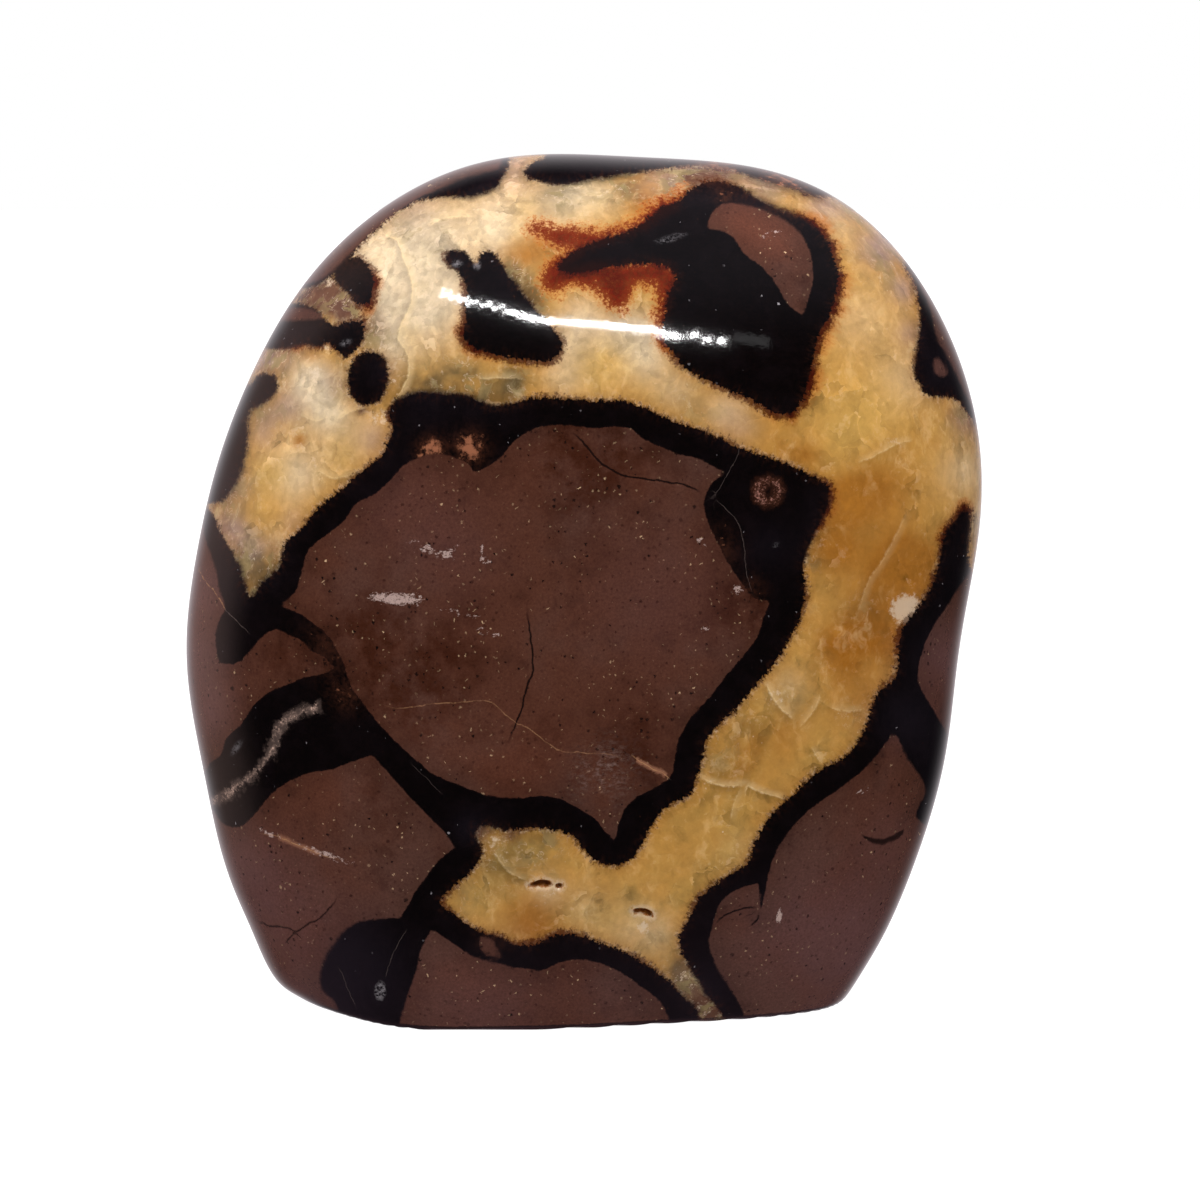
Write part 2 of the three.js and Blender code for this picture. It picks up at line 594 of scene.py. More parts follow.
@dataclass(frozen=True)
class FaceMarkings:
    """The show face's markings, in millimetres on the layout plane. Outlines that meet the stone's edge
    run on past it, because the strip just round the edge is looked up beyond it."""

    blocks: tuple[Points, ...] = (
        # The heart of the stone.
        (
            (-37.9, -2), (-37.9, -2), (-36.2, -0.4), (-35.5, 1.5), (-34.6, 4.5), (-32.4, 6.4), (-30.6, 7.8),
            (-28.9, 10.1), (-26.7, 11.2), (-24.6, 13.1), (-23.3, 14.6), (-21.5, 15.5), (-19.6, 16),
            (-17.5, 15.6), (-15.5, 14.6), (-15.1, 13.6), (-15.1, 13.6), (-13.3, 14.5), (-11.8, 15.5),
            (-10.6, 17), (-8.7, 18.5), (-6.5, 19.3), (-3, 19.3), (-0.6, 19), (2, 19.2), (3.9, 18.8),
            (5, 17.8), (7.8, 16.6), (9.6, 15.8), (11.5, 15.5), (13, 14.7), (15.1, 13.6), (15.1, 13.6),
            (13.4, 12.8), (12.7, 11.4), (12.3, 10), (12.7, 8.2), (13.8, 5.6), (15.2, 3), (16.9, 0.5),
            (18.2, -1.1), (20.2, -1.5), (20.2, -1.5), (19.5, -3.2), (18.6, -5.8), (16.8, -8.2),
            (14.9, -10.4), (12.9, -13), (10.9, -15.2), (9.6, -17.2), (9, -19.4), (8.5, -22.4), (8.5, -22.4),
            (6.5, -23.6), (4.3, -24.8), (2.9, -26.2), (2.1, -28.2), (1.8, -30), (1.8, -30), (0.7, -28.9),
            (-0.6, -27.3), (-2.7, -26), (-4.9, -24.9), (-7.2, -24.6), (-9.9, -24.9), (-13, -24.6),
            (-16.4, -23.4), (-19.6, -22.1), (-22.2, -20), (-25, -17.4), (-27.4, -14.6), (-29.6, -11.4),
            (-30.5, -8.8), (-32.1, -5.8), (-33.6, -4.4), (-35.6, -3),
        ),
        # The left side.
        (
            (-38.4, -4.9), (-36.8, -5.6), (-35.3, -6.3), (-34.2, -7.5), (-32.8, -8.2), (-31.5, -9.5),
            (-31.5, -9.5), (-33.2, -10.2), (-34.9, -10.5), (-37, -11.3), (-39.3, -12.3), (-41, -13.7),
            (-42.5, -15.9), (-44.5, -18), (-45, -19.6), (-46.4, -20.8), (-47.5, -22.5), (-53, -24),
            (-55, -5), (-51, 8), (-47.4, 8), (-46.9, 5.8), (-46.2, 3.8), (-45.6, 1.7), (-45.2, -0.4),
            (-44.6, -2.4), (-45.4, -4), (-45.7, -6), (-45.3, -8.9), (-45.3, -8.9), (-43, -8.9),
            (-41.9, -7.8), (-40.9, -6.7), (-39.8, -5.5),
        ),
        # The lower left.
        (
            (-27.1, -19.8), (-27.1, -19.8), (-28.8, -20.4), (-31.9, -21.5), (-34.8, -22), (-37.2, -23.1),
            (-39.1, -24.5), (-40.7, -26.5), (-42.3, -28.1), (-43.6, -28.4), (-44.8, -27.9), (-46.5, -26),
            (-53, -26), (-52, -52), (-34, -56), (-31, -52), (-31.6, -49.2), (-33, -47.9), (-33.4, -46.4),
            (-33, -44.3), (-31.8, -42.2), (-30.4, -40.5), (-28.6, -39.5), (-26.2, -39.2), (-23.8, -39.1),
            (-23.8, -39.1), (-22.7, -37.4), (-21.9, -35.9), (-20.5, -34), (-18.9, -32), (-17.3, -30.8),
            (-17.3, -30.8), (-18.4, -29.1), (-21, -26.5), (-24, -23.2),
        ),
        # The foot.
        (
            (-20, -40.5), (-20, -40.5), (-21.3, -43), (-21.8, -45.5), (-22.7, -48.1), (-23.4, -50.5),
            (-24.5, -56), (9.5, -56), (8, -50.8), (7, -49), (5, -47.4), (2.6, -45.7), (0.2, -44.6),
            (-2.2, -44.1), (-4.6, -44.4), (-6.7, -45.3), (-9, -45.2), (-12.2, -44.6), (-15, -43.8),
            (-17.6, -42.1),
        ),
        # A chip in the black under the vein.
        (
            (-14.3, -41.4), (-14.3, -41.4), (-12.8, -41.8), (-12.4, -42.7), (-11.7, -43.8), (-11.7, -43.8),
            (-13.5, -43.3), (-14.1, -42.6),
        ),
        # The lower right, with its broken-off corner.
        (
            (34.9, -17), (34.9, -17), (35.6, -18.4), (36.4, -20.2), (38.1, -22.6), (38.6, -24.2),
            (37.8, -25.8), (37.5, -27), (39, -28.2), (42, -27.8), (46, -26.6), (56, -27), (48, -56),
            (18.5, -56), (16.9, -50), (15.4, -47.3), (13.8, -44.6), (13, -42.2), (13.4, -39.9),
            (14.2, -37.6), (15.8, -36), (18.8, -35), (18.8, -35), (18.9, -37), (18.9, -38.9), (18.9, -38.9),
            (19.5, -36.7), (20.1, -33.8), (21, -31.1), (22.6, -28.7), (25.4, -25.9), (28.2, -24),
            (30.9, -21.9), (32.9, -19.8),
        ),
        # The right edge.
        (
            (43.6, 1.4), (41.4, -1.9), (39.4, -4.9), (38.2, -7.8), (37.8, -10.9), (38.9, -13.2),
            (40.2, -15.3), (41.5, -17.5), (43.6, -20.2), (47, -21.6), (56, -21.6), (54, 4), (46, 4),
        ),
        # The lens in the black at the upper right.
        (
            (12.8, 42.9), (13.3, 44.5), (14.6, 45.6), (17.1, 45.5), (20.5, 44.3), (23.3, 42.6),
            (24.8, 40.2), (25.3, 37.5), (24.9, 35.1), (24.1, 32.5), (24.1, 32.5), (22.4, 33.7),
            (21.1, 35.9), (19.4, 38.1), (17.1, 39.9), (15.9, 41.7), (14.2, 42.6),
        ),
        # The upper left edge.
        (
            (-11.8, 50.4), (-14.2, 49.5), (-16.6, 48.8), (-18.6, 47.8), (-20.6, 46.9), (-22.4, 46),
            (-24, 44.8), (-26, 43.2), (-28.2, 41.3), (-29.9, 39.7), (-31.4, 38.2), (-32.6, 37.2),
            (-34.4, 36.4), (-38, 36.4), (-38, 46), (-22, 56), (-15, 56),
        ),
        # A sliver over the black below it.
        (
            (-32.8, 32.2), (-34.2, 33), (-36, 33.3), (-38, 33.2), (-42, 34), (-44, 32.2), (-38.6, 31.9),
            (-35.2, 32),
        ),
        # The right shoulder, with a spot in the black beside it.
        (
            (38, 36.2), (39, 34), (39.7, 31.6), (40.2, 29.6), (41.1, 28), (42, 26.2), (42.8, 24.6),
            (43.5, 23), (44.6, 21.6), (51, 22), (50, 34), (42, 39), (39, 38),
        ),
        ((39.9, 27.4), (40.6, 26.7), (41.2, 25.4), (40.2, 25.3), (39.7, 26.2)),
        # Three that lie just over the edge: two along the top and one down the left.
        (
            (17, 51.4), (18.6, 50.2), (20.8, 49.5), (23, 48.9), (25.2, 48.4), (27.2, 48.6), (27, 58),
            (15, 58),
        ),
        ((-5.5, 53.6), (-2, 52.9), (4, 52.7), (9, 52.9), (12, 55), (12, 61), (-6, 61)),
        ((-45.8, 21.4), (-45.4, 17.6), (-46.2, 14.2), (-49, 12.6), (-60, 12.4), (-60, 23.4), (-49, 23.4)),
    )
    veins: tuple[Points, ...] = (
        # The main vein, all round the heart from its left corner and on over the top.
        (
            (-41.2, -1), (-40.6, 0), (-39.3, 1.3), (-38, 2.8), (-37.4, 5.4), (-35.7, 7), (-33.8, 9.4),
            (-30.9, 11.8), (-28.6, 13.8), (-26.4, 15.5), (-25.2, 17.4), (-24.7, 19.4), (-25.1, 20.9),
            (-24.4, 22.2), (-22.2, 23.1), (-19, 23.1), (-15.6, 22.8), (-12.6, 21.6), (-10.4, 22),
            (-7.6, 22.7), (-4.2, 22.6), (-0.8, 22.4), (2.6, 22.4), (5.3, 21.6), (8.1, 20.2), (11.7, 19),
            (14.9, 17.6), (18.2, 16.2), (21.4, 15.2), (24.2, 14), (25.7, 13.1), (26.9, 12.4), (27.3, 11.3),
            (27, 9.7), (26.1, 7.8), (24.9, 5.4), (24.2, 2.8), (24.5, -0.2), (24.1, -3), (22.7, -5.9),
            (20.8, -8.9), (18.5, -11.7), (16.4, -14.1), (13.9, -16.6), (12.6, -18.3), (12.3, -20.2),
            (11.6, -22.3), (10.8, -24.4), (7.9, -26.1), (6.5, -27.8), (5.1, -30.2), (3.8, -32.2),
            (1.7, -33), (-0.4, -32.5), (-2, -31), (-3.4, -29.5), (-5.3, -28.7), (-8.8, -28.6),
            (-11.6, -28.6), (-14, -28), (-14.9, -29), (-14, -31.2), (-15.2, -33.6), (-17, -35.2),
            (-18.8, -37.3), (-17, -38.8), (-14.4, -40.7), (-12.2, -41.3), (-9.9, -42.3), (-7.4, -42),
            (-5, -41), (-2.4, -41.1), (0.6, -42.2), (3.4, -43.3), (6, -44.9), (8.4, -46.8), (10, -48.7),
            (11.6, -50.3), (12.4, -56), (16.5, -56), (14.2, -50.2), (12.6, -48), (11.3, -45.9),
            (9.8, -43.4), (9.3, -41.6), (10.4, -39.2), (11.7, -36.8), (13.8, -34.9), (15.8, -33.6),
            (17.4, -32.5), (18.4, -30), (20.3, -26.8), (22.6, -24.7), (25.5, -21.9), (28.9, -19.9),
            (30.6, -18.1), (31.8, -15.6), (32.8, -12.6), (34.9, -10.6), (35.3, -7.8), (35.7, -5),
            (37.5, -2.5), (39.5, 0.4), (40.4, 3.8), (41.1, 6.8), (42.3, 8.3), (43.3, 9.4), (43.8, 9),
            (43.9, 7.4), (43.7, 5.4), (43.7, 3.4), (44.4, 1.8), (46.5, 1.4), (53, 8), (54, 26), (44, 44),
            (24, 57), (-10, 57), (-11, 50.2), (-11.7, 48.9), (-12.4, 47.7), (-15.2, 46.7), (-18.5, 46.6),
            (-21.2, 46.2), (-24, 44.7), (-26, 43.1), (-28, 41.2), (-29.6, 39.5), (-31.2, 37.9),
            (-32.4, 36.9), (-34.2, 36), (-40, 36), (-46, 34), (-56, 22), (-55, 10), (-47.5, 9.6),
            (-46.2, 9.1), (-45.4, 7.4), (-44.1, 4.9), (-43, 2.6), (-42.3, 0.4), (-41.8, -0.8),
        ),
    )
    # The thread of crystals in the black limb at the left.
    eye: Points = (
        (-33.2, -13.3), (-34.8, -13.7), (-36.6, -14.4), (-38.2, -15.5), (-39, -16.9), (-39.5, -18.5),
        (-40.1, -20.1), (-41.2, -21.3), (-42.8, -22.5), (-44.6, -23.7), (-46.6, -24.9), (-46.4, -26.2),
        (-44.4, -25.4), (-42.5, -24.1), (-40.9, -22.6), (-39.3, -21), (-38.2, -19.4), (-37.7, -17.6),
        (-36.8, -16.2), (-35, -15.3), (-33.4, -14.8),
    )
    black_spots: tuple[Points, ...] = (
        # Four down the left side.
        (
            (-30, 39.2), (-28.7, 39.4), (-27.5, 38.4), (-26.9, 37), (-26.9, 35.2), (-27.5, 33.8),
            (-28.7, 33.7), (-30, 35.1), (-31.2, 36.3), (-31.6, 37.2), (-31.2, 38.5),
        ),
        (
            (-39.4, 33.6), (-37.4, 33.8), (-35.4, 33.7), (-33.6, 33), (-32.6, 31.8), (-31.4, 31.2),
            (-30, 31.8), (-28.4, 31.7), (-27.9, 30.4), (-28.4, 28.9), (-29.5, 27.9), (-30.4, 27.5),
            (-31.4, 28.4), (-32.4, 29.2), (-33.4, 28.8), (-35.2, 29.1), (-37, 28.7), (-38.9, 28.6),
            (-42, 28.9), (-44, 31),
        ),
        (
            (-28.7, 27.8), (-27.2, 28.1), (-25.7, 27.5), (-25.3, 26.3), (-25.3, 24.4), (-26, 22.6),
            (-27.2, 21.9), (-28.7, 22), (-29.7, 23.2), (-29.9, 24.8), (-29.6, 26.5),
        ),
        (
            (-40.6, 25.2), (-39.4, 25.4), (-38.6, 25), (-38.4, 23.8), (-39, 22.9), (-40.2, 22),
            (-41.4, 21.4), (-42, 20.2), (-42, 17.8), (-42.3, 15.8), (-43.1, 13.2), (-44.2, 11.3),
            (-45.4, 10.3), (-48, 10.6), (-52, 18), (-46, 25), (-41.6, 24),
        ),
        # The slanting bar.
        (
            (-18.6, 39.5), (-18, 40), (-16.8, 40.1), (-15.7, 39.6), (-14.8, 38.4), (-14.1, 39.8),
            (-13, 40.1), (-12.2, 39.2), (-10.8, 37), (-9.4, 35.2), (-8, 33.4), (-6.2, 31.4), (-4.8, 29.9),
            (-4.4, 28.6), (-5, 27.5), (-6.2, 26.9), (-8.4, 27), (-11, 27.4), (-13.4, 27.9), (-15.3, 28.7),
            (-16.3, 29.8), (-16, 31.6), (-16.2, 33.4), (-15.9, 35.2), (-16.2, 36.6), (-17, 37.9),
            (-18.1, 38.7),
        ),
        # Three along the top.
        (
            (-11.8, 48.9), (-12.8, 47.7), (-14.8, 46.9), (-17.2, 47), (-18.6, 47.8), (-16.6, 49.2),
            (-14, 49.9), (-12.4, 49.7),
        ),
        (
            (-8.9, 49.2), (-8.6, 50), (-7.6, 50.7), (-6.2, 51.6), (-7, 57), (14, 57), (14.2, 50.6),
            (11.2, 50.3), (8.4, 50.1), (5.8, 49.8), (3.4, 49.4), (1.2, 49.1), (-1.2, 48.7), (-3.2, 48.2),
            (-5.4, 48.1), (-7.4, 48.5),
        ),
        (
            (12.8, 50.6), (15.6, 49.9), (18, 49.1), (20.2, 48.5), (22.4, 47.9), (24.6, 47.2), (26.4, 46.9),
            (29, 48), (30, 58), (14, 58),
        ),
        # The crown, whose left end forks.
        (
            (6.2, 44.2), (7.2, 45.3), (9.2, 46), (10.4, 47.2), (11.9, 48.1), (13.8, 48.4), (16, 47.8),
            (18.2, 46.5), (20.6, 45.1), (23.7, 44), (26.1, 42.5), (27.5, 40.2), (28.3, 37.2), (28.1, 34.8),
            (27.3, 32.4), (26, 29.8), (25.4, 27.2), (24.9, 24.8), (24.3, 22.8), (23.3, 21.2), (22.2, 20.6),
            (20.4, 20.9), (18.2, 22.2), (16.2, 23.1), (14.4, 23.8), (12, 24.9), (9.8, 26.3), (8.6, 28),
            (7.7, 29), (7.3, 30.4), (7.7, 32.6), (8, 34.8), (8.9, 36.8), (7.8, 38.2), (5, 38.5), (2, 38.2),
            (-1, 37.7), (-3.8, 37.4), (-5.1, 38), (-4.2, 39.2), (-2.2, 40.5), (0.2, 41.5), (3, 42.3),
        ),
        # The right shoulder.
        (
            (36.2, 38.6), (37.1, 37), (37.7, 35), (38, 33), (38, 31), (37.8, 29), (37.5, 27), (37.3, 25.5),
            (38.1, 24.2), (38.7, 23.1), (40.2, 22.8), (42.3, 22.5), (43.6, 20.8), (45.2, 19.6), (52, 20),
            (51, 36), (40, 43),
        ),
    )
    # The stain that branches from the crown's left end.
    rust: tuple[Points, ...] = (
        (
            (-8.4, 42.9), (-7.8, 43.5), (-6.8, 43.5), (-5, 43), (-2, 42.7), (1, 42.8), (3.6, 43.5),
            (5.4, 44.9), (6.6, 46), (8.6, 46.5), (10, 47.6), (9, 44), (2, 41.2), (-2.2, 40), (-4.8, 40.3),
            (-6.8, 41.2), (-7.6, 42.1),
        ),
        (
            (-7, 36.4), (-6.2, 38.2), (-4.6, 39.6), (-2, 40.2), (2, 39), (8.6, 38.8), (9.4, 36.2),
            (8.4, 33.4), (8.2, 31.2), (8.2, 28.6), (6.8, 29.8), (6.6, 32.4), (6.5, 35.6), (4.2, 35.8),
            (2.9, 33.4), (1, 33.4), (-0.4, 35.2), (-3.4, 35.9), (-5.8, 35),
        ),
    )
    cracks: tuple[Hairline, ...] = (
        Hairline((
            (-8.8, -1), (-8.6, -3.4), (-8.2, -5.6), (-8, -8.2), (-8, -10), (-8.6, -11.4), (-9, -13),
            (-9.6, -15.2), (-10.6, -17.4), (-11.1, -18.8),
        ), 1, 0.2),
        Hairline((
            (-4, 18.8), (-2.6, 18), (-1.2, 16.4), (0.2, 14.8), (2.2, 13.7), (3.8, 13.2), (5.8, 13),
            (8, 12.6), (9.8, 12.4), (11.4, 11.7), (12.4, 11),
        )),
        Hairline((
            (-41.6, -39), (-39.4, -40), (-36.8, -40.4), (-36.2, -40.8), (-35, -40), (-33.4, -39.2),
            (-32, -37.8), (-30.6, -36),
        ), 0.8),
        Hairline(((-36.2, -40.8), (-37.4, -42)), 0.8),
        Hairline(((18.8, -37.9), (16.6, -38.1), (14.8, -38.8), (13.7, -39.8))),
        Hairline(((18.9, -38.8), (18.6, -39.4), (17.8, -40))),
        Hairline((
            (30.8, -29), (31.8, -29.7), (33.3, -30.1), (34.7, -29.7), (35.7, -29), (36.1, -28.4),
        ), 2.6, 0.3),
    )
    threads: tuple[Hairline, ...] = (
        Hairline((
            (-26.6, -13.4), (-24.4, -14.2), (-20, -13.7), (-17.2, -13.6), (-14, -13.3), (-12.8, -13.6),
            (-11.4, -14.8), (-10.2, -15.8), (-8.2, -16.8), (-6.4, -18.2), (-4.6, -19.3), (-2.4, -19.5),
            (1, -19.7), (3.6, -20.4),
        ), 0.5),
        Hairline(((3.6, -19.7), (4.8, -20.6), (6, -21.3), (7.2, -21.8), (8.6, -22.8)), 1),
        Hairline(((-22.9, -40.3), (-24, -42.2), (-25, -44.5), (-25.5, -46.4)), 0.5),
        Hairline(((-31.2, -44.6), (-30, -47.4), (-28.8, -50)), 0.4),
        Hairline(((-22.6, -20.6), (-20.4, -22.8), (-18.6, -24.6)), 0.3),
        Hairline((
            (-47.9, 2.8), (-46.9, 0.9), (-45.6, -0.6), (-44.4, -2.6), (-42.8, -4.2), (-41.4, -5.6),
        ), 0.7),
        Hairline(((16.8, 17.2), (16.1, 15.4), (15.2, 13.6), (14, 11.6), (12.8, 10.4)), 0.45),
        Hairline(((13.2, 11), (15.2, 9.2), (16.6, 7.4), (17.1, 5), (17.4, 1.5), (18.3, -1)), 0.55),
        Hairline(((-41.2, -29), (-38.4, -29.4), (-36.5, -30.2), (-33, -31.6), (-30.3, -32.4)), 0.94, 0.3),
    )
    gleams: tuple[Hairline, ...] = (
        # Down the right of the heart and into the foot.
        Hairline((
            (36.8, 10.1), (35.8, 7.7), (33.8, 3.8), (31.9, 0.9), (31, -1.7), (29.8, -5.1),
        ), 0.42, 0.3),
        Hairline(((30.4, 14.8), (32.8, 15.8), (35.1, 17.1), (37.4, 17.7)), 0.6),
        Hairline(((19.4, -10.8), (21, -13.7), (23, -15.6)), 1),
        Hairline(((23.6, -16.6), (25.5, -14.4), (26.3, -12.5)), 0.6),
        Hairline(((27, -14), (29, -14.6), (31.5, -14.4)), 0.5),
        Hairline((
            (11.5, -22.3), (13.6, -23.2), (15.6, -23.5), (16.8, -23.3), (20.2, -24.6), (22.1, -25),
        ), 1, 0.08),
        Hairline(((16.8, -23.5), (15.8, -25.7), (15.5, -27.6)), 0.5),
        Hairline(((25.1, -18.9), (25.6, -19.8), (26.3, -20.8)), 0.6),
        # Over the upper left.
        Hairline((
            (-26.2, 42.3), (-24, 41.1), (-23.4, 39.3), (-22.4, 36.6), (-22.4, 34.3), (-23.2, 32.1),
            (-24, 29.8), (-22.8, 27.5), (-22.8, 25.2), (-24, 23), (-24.7, 22.2),
        ), 0.9, 0.05),
        Hairline(((-20.2, 43), (-19, 43.8), (-17, 44.1), (-14.9, 44.2)), 0.7),
        Hairline(((-14.9, 25.2), (-13.6, 24.8), (-12.6, 25), (-10.7, 25), (-8.8, 24.9)), 0.7),
        Hairline(((-31.5, 19.9), (-29.3, 21.1), (-27.8, 21.5)), 0.6),
        Hairline(((-34.2, 14.3), (-31.5, 13.1), (-29.3, 13.5), (-27.8, 13.9)), 0.6),
        Hairline(((-34.2, 14.3), (-34.1, 12.6), (-33.8, 10.8)), 0.5),
        Hairline(((-35.7, 20.7), (-33.8, 19.9), (-32.3, 20.3)), 0.5),
        # Along the foot.
        Hairline(((-12.6, -31), (-11.6, -32.8), (-10.3, -34), (-8.4, -34.8)), 0.6),
    )
    smudges: tuple[Smudge, ...] = each(
        Smudge,
        (-24.3, -1.2, 5.6, 1.2, -4), (-20.8, 5, 1.8, 0.26, -20), (-19.3, 4.1, 2.4, 0.36, -12),
        (-18, 4.4, 1.2, 0.3, 24), (-13.6, 3.3, 0.9, 0.6, -40), (-13.9, 4.8, 0.3, 0.9, 0),
        (-13.3, -5.2, 1.7, 0.45, -10), (-33, -31.5, 3.4, 0.4, -18), (-39.3, -29.1, 1.6, 0.35, -20),
        (21.3, -38.9, 0.6, 1.9, -8), (-16.9, -2.9, 2.4, 0.3, -12), (8.4, 41.6, 3, 0.7, 14),
        (-17, 38.6, 1.2, 0.9, 0), (-14.6, 38.4, 0.9, 1.1, 0), (-43.2, -18.9, 1.6, 0.6, 55),
        (-30.2, 29.2, 1.1, 0.6, 20), (-21.6, -1, 1.6, 0.5, 0),
        # Small pale chips.
        (16.3, -0.1, 1.1, 0.8, 25), (11.9, 5.6, 1.2, 0.3, -62), (12.6, -4.8, 0.6, 0.3, 30),
        (15, -4.9, 0.5, 0.4, 0), (20.9, 5.2, 0.7, 0.5, 20), (-26.1, -47.8, 1.4, 2.4, 0),
        (20.1, 42.1, 1.3, 0.3, 10), (31.1, -24.1, 0.9, 0.25, 10),
    )
    cream: tuple[Tint, ...] = each(
        Tint,
        (-21, 41, 7, 0.95), (-21, 34, 5.5, 0.95), (-11, 45, 5, 0.6), (-3.4, 46.8, 3.6, 0.9),
        (0.6, 46.2, 2.6, 0.6), (-34.4, 24.8, 2.6, 0.8), (2, 28.8, 4, 0.9), (6, 27, 2.4, 0.5),
        (-12, 41.8, 2.6, 0.3), (5, 30.5, 2.4, 0.5), (-4, 29, 3, 0.6), (31, 32, 4, 0.3), (43.5, 14, 3, 0.5),
        (28, 43, 3, 0.3), (3.5, -40, 3, 0.3), (-1, -38, 3, 0.3), (7, -41, 2.4, 0.3), (-36.4, 13.6, 3, 0.8),
        (-30, 18.5, 3, 0.3), (-6.5, -36.2, 2, 0.5), (36, 25, 3.4, 0.4), (22.4, -11.8, 2.4, 0.25),
        (16, -30.6, 2, 0.2), (15, 21.4, 2.6, 0.4), (-24.6, 29, 2.6, 0.6), (-32, 20.6, 2, 0.5),
        (-4, 24.8, 2.6, 0.4), (9, 23.6, 2.6, 0.4), (-33, 20, 5, 0.3), (-28.4, 40.4, 3, 0.5),
        (-24.6, 34, 3, 0.4), (-2.4, 32.6, 2.4, 0.5), (44.4, 8, 2, 0.6), (-34, 23, 3, 0.5),
    )
    # Where the calcite is a clear yellow.
    straw: tuple[Tint, ...] = each(
        Tint,
        (-39.2, 13.6, 2.6, 0.9), (-22.6, 30, 1.6, 0.4), (0, 45, 3.4, 0.5), (1, 25.8, 4, 0.6),
        (-9.4, 41, 2, 0.4), (24, -16.5, 3.6, 0.5), (30, 19, 4, 0.6), (33, 23, 4, 0.4), (20, 18.5, 3, 0.3),
        (10, -30, 5, 0.45), (14, -27, 5, 0.45), (-15, -36, 3.4, 0.4), (15.6, -32, 2.4, 0.5),
        (-30, 15.6, 2.4, 0.3), (20, -20, 3.4, 0.4), (31, 10, 5, 0.25), (11, -36, 2.4, 0.4),
        (2, -34, 3, 0.3), (1, -38.6, 3.4, 0.7), (29.6, 15.6, 3.4, 0.7), (0, 27, 3, 0.5), (-9, 45, 2, 0.4),
        (-30, 17.6, 3, 0.4),
    )
    amber: tuple[Tint, ...] = each(
        Tint,
        (33.5, 11.5, 4.5, 0.8), (35, 3, 5, 0.9), (32, -4.5, 5, 0.9), (0, 44.8, 3, 0.4), (27.5, 5, 3.4, 1),
        (30.5, -13, 4.5, 0.6), (30, 12.5, 4, 0.4), (37.4, 3, 2.6, 0.9), (28.8, 10.2, 2.4, 1),
        (24.6, 15.8, 2, 0.7), (28, -8, 3, 0.6), (36.5, 1, 3, 0.8), (35.4, -7, 2.4, 0.6),
        (-8, -39.6, 3.4, 0.7), (22, -18.6, 2.6, 0.3), (-35.6, 17.6, 0.8, 0.9), (-34.6, 28, 1.4, 0.7),
        (22.5, -15.5, 3.4, 0.4), (2, 25.6, 3, 0.3), (0, -36, 2.6, 0.4), (17, -21.5, 6, 0.45),
        (9, -30, 6, 0.35), (-8, -38.5, 5, 0.4), (20.5, 19, 3, 0.5), (5, 46.2, 3, 0.8),
        (-9.8, 39.4, 2.8, 0.9), (1, 34, 3.5, 0.3), (-6.8, 40.6, 2, 0.7),
    )
    smoke: tuple[Tint, ...] = each(
        Tint,
        (-10.3, 37.3, 1.7, 1), (-8.6, 35.2, 1.7, 0.9), (-6.8, 33.4, 1.2, 0.6), (-30.4, 33.2, 2.2, 0.9),
        (-41.6, 1.2, 2.2, 1), (2.6, 49.2, 2.6, 0.7), (9, 49.9, 2.4, 0.5), (-5, 47.2, 2.6, 0.5),
        (10.6, -45.6, 2, 0.7), (-22, 24.2, 2, 0.9), (-18.6, 24.4, 2.4), (-14.6, 23.8, 2.2),
        (-10.6, 23.2, 1.8, 0.8), (-41, 0.6, 2.6, 0.9), (-41.8, 4.5, 2, 0.5), (-38.8, 3.6, 2.6, 0.4),
        (-19.8, 41.6, 2.4, 0.45), (11, 21.2, 3, 0.5), (-9.8, 34, 2.2, 0.7), (24.5, 3.5, 1.6, 0.6),
        (-13.5, -33, 3.4, 0.5), (-43, 12.5, 2.6, 0.5), (14, -20.5, 3, 0.3), (-38.6, 27, 1.8, 0.8),
        (30.5, 45, 3, 0.7), (16, 50, 3, 0.5), (3, 48.6, 2.6, 0.5), (-24, 44, 3, 0.4),
        (32.6, 38.4, 2.6, 0.3), (30.6, -15.6, 2.6, 0.35), (23, -13.6, 2, 0.3), (-36.6, 21.6, 2.6, 0.35),
        (31.6, -2.6, 2.4, 0.3), (-30, 33, 1.8, 0.6), (-34.6, 35.8, 2.2, 0.7), (-6, 46.6, 3, 0.3),
        (43.4, 20.4, 2.2, 0.6), (12.8, -49.8, 3.2, 1), (10.2, -45.4, 2, 0.9), (-10, 25, 1.8, 0.7),
        (-16, 25.6, 2, 0.5), (-44, 8.5, 2.4, 0.6), (-40, 20.5, 1.8, 0.6), (-31, 24, 1.6, 0.4),
        (-27.6, 33, 1.4, 0.5), (-8, -31, 3, 0.6), (15, -16.6, 2.4, 0.4), (21, 47.4, 2.6, 0.4),
        (34.6, 38.6, 2.6, 0.4), (-17.4, -37.4, 2, 0.6), (-27, 30, 1.8, 0.9), (-30.6, 26, 1.4, 0.5),
        (10, 48.8, 2.2, 0.7), (-38, 27.6, 2, 0.5), (8, 46.8, 2, 0.4), (-6, -30.2, 2, 0.4),
    )
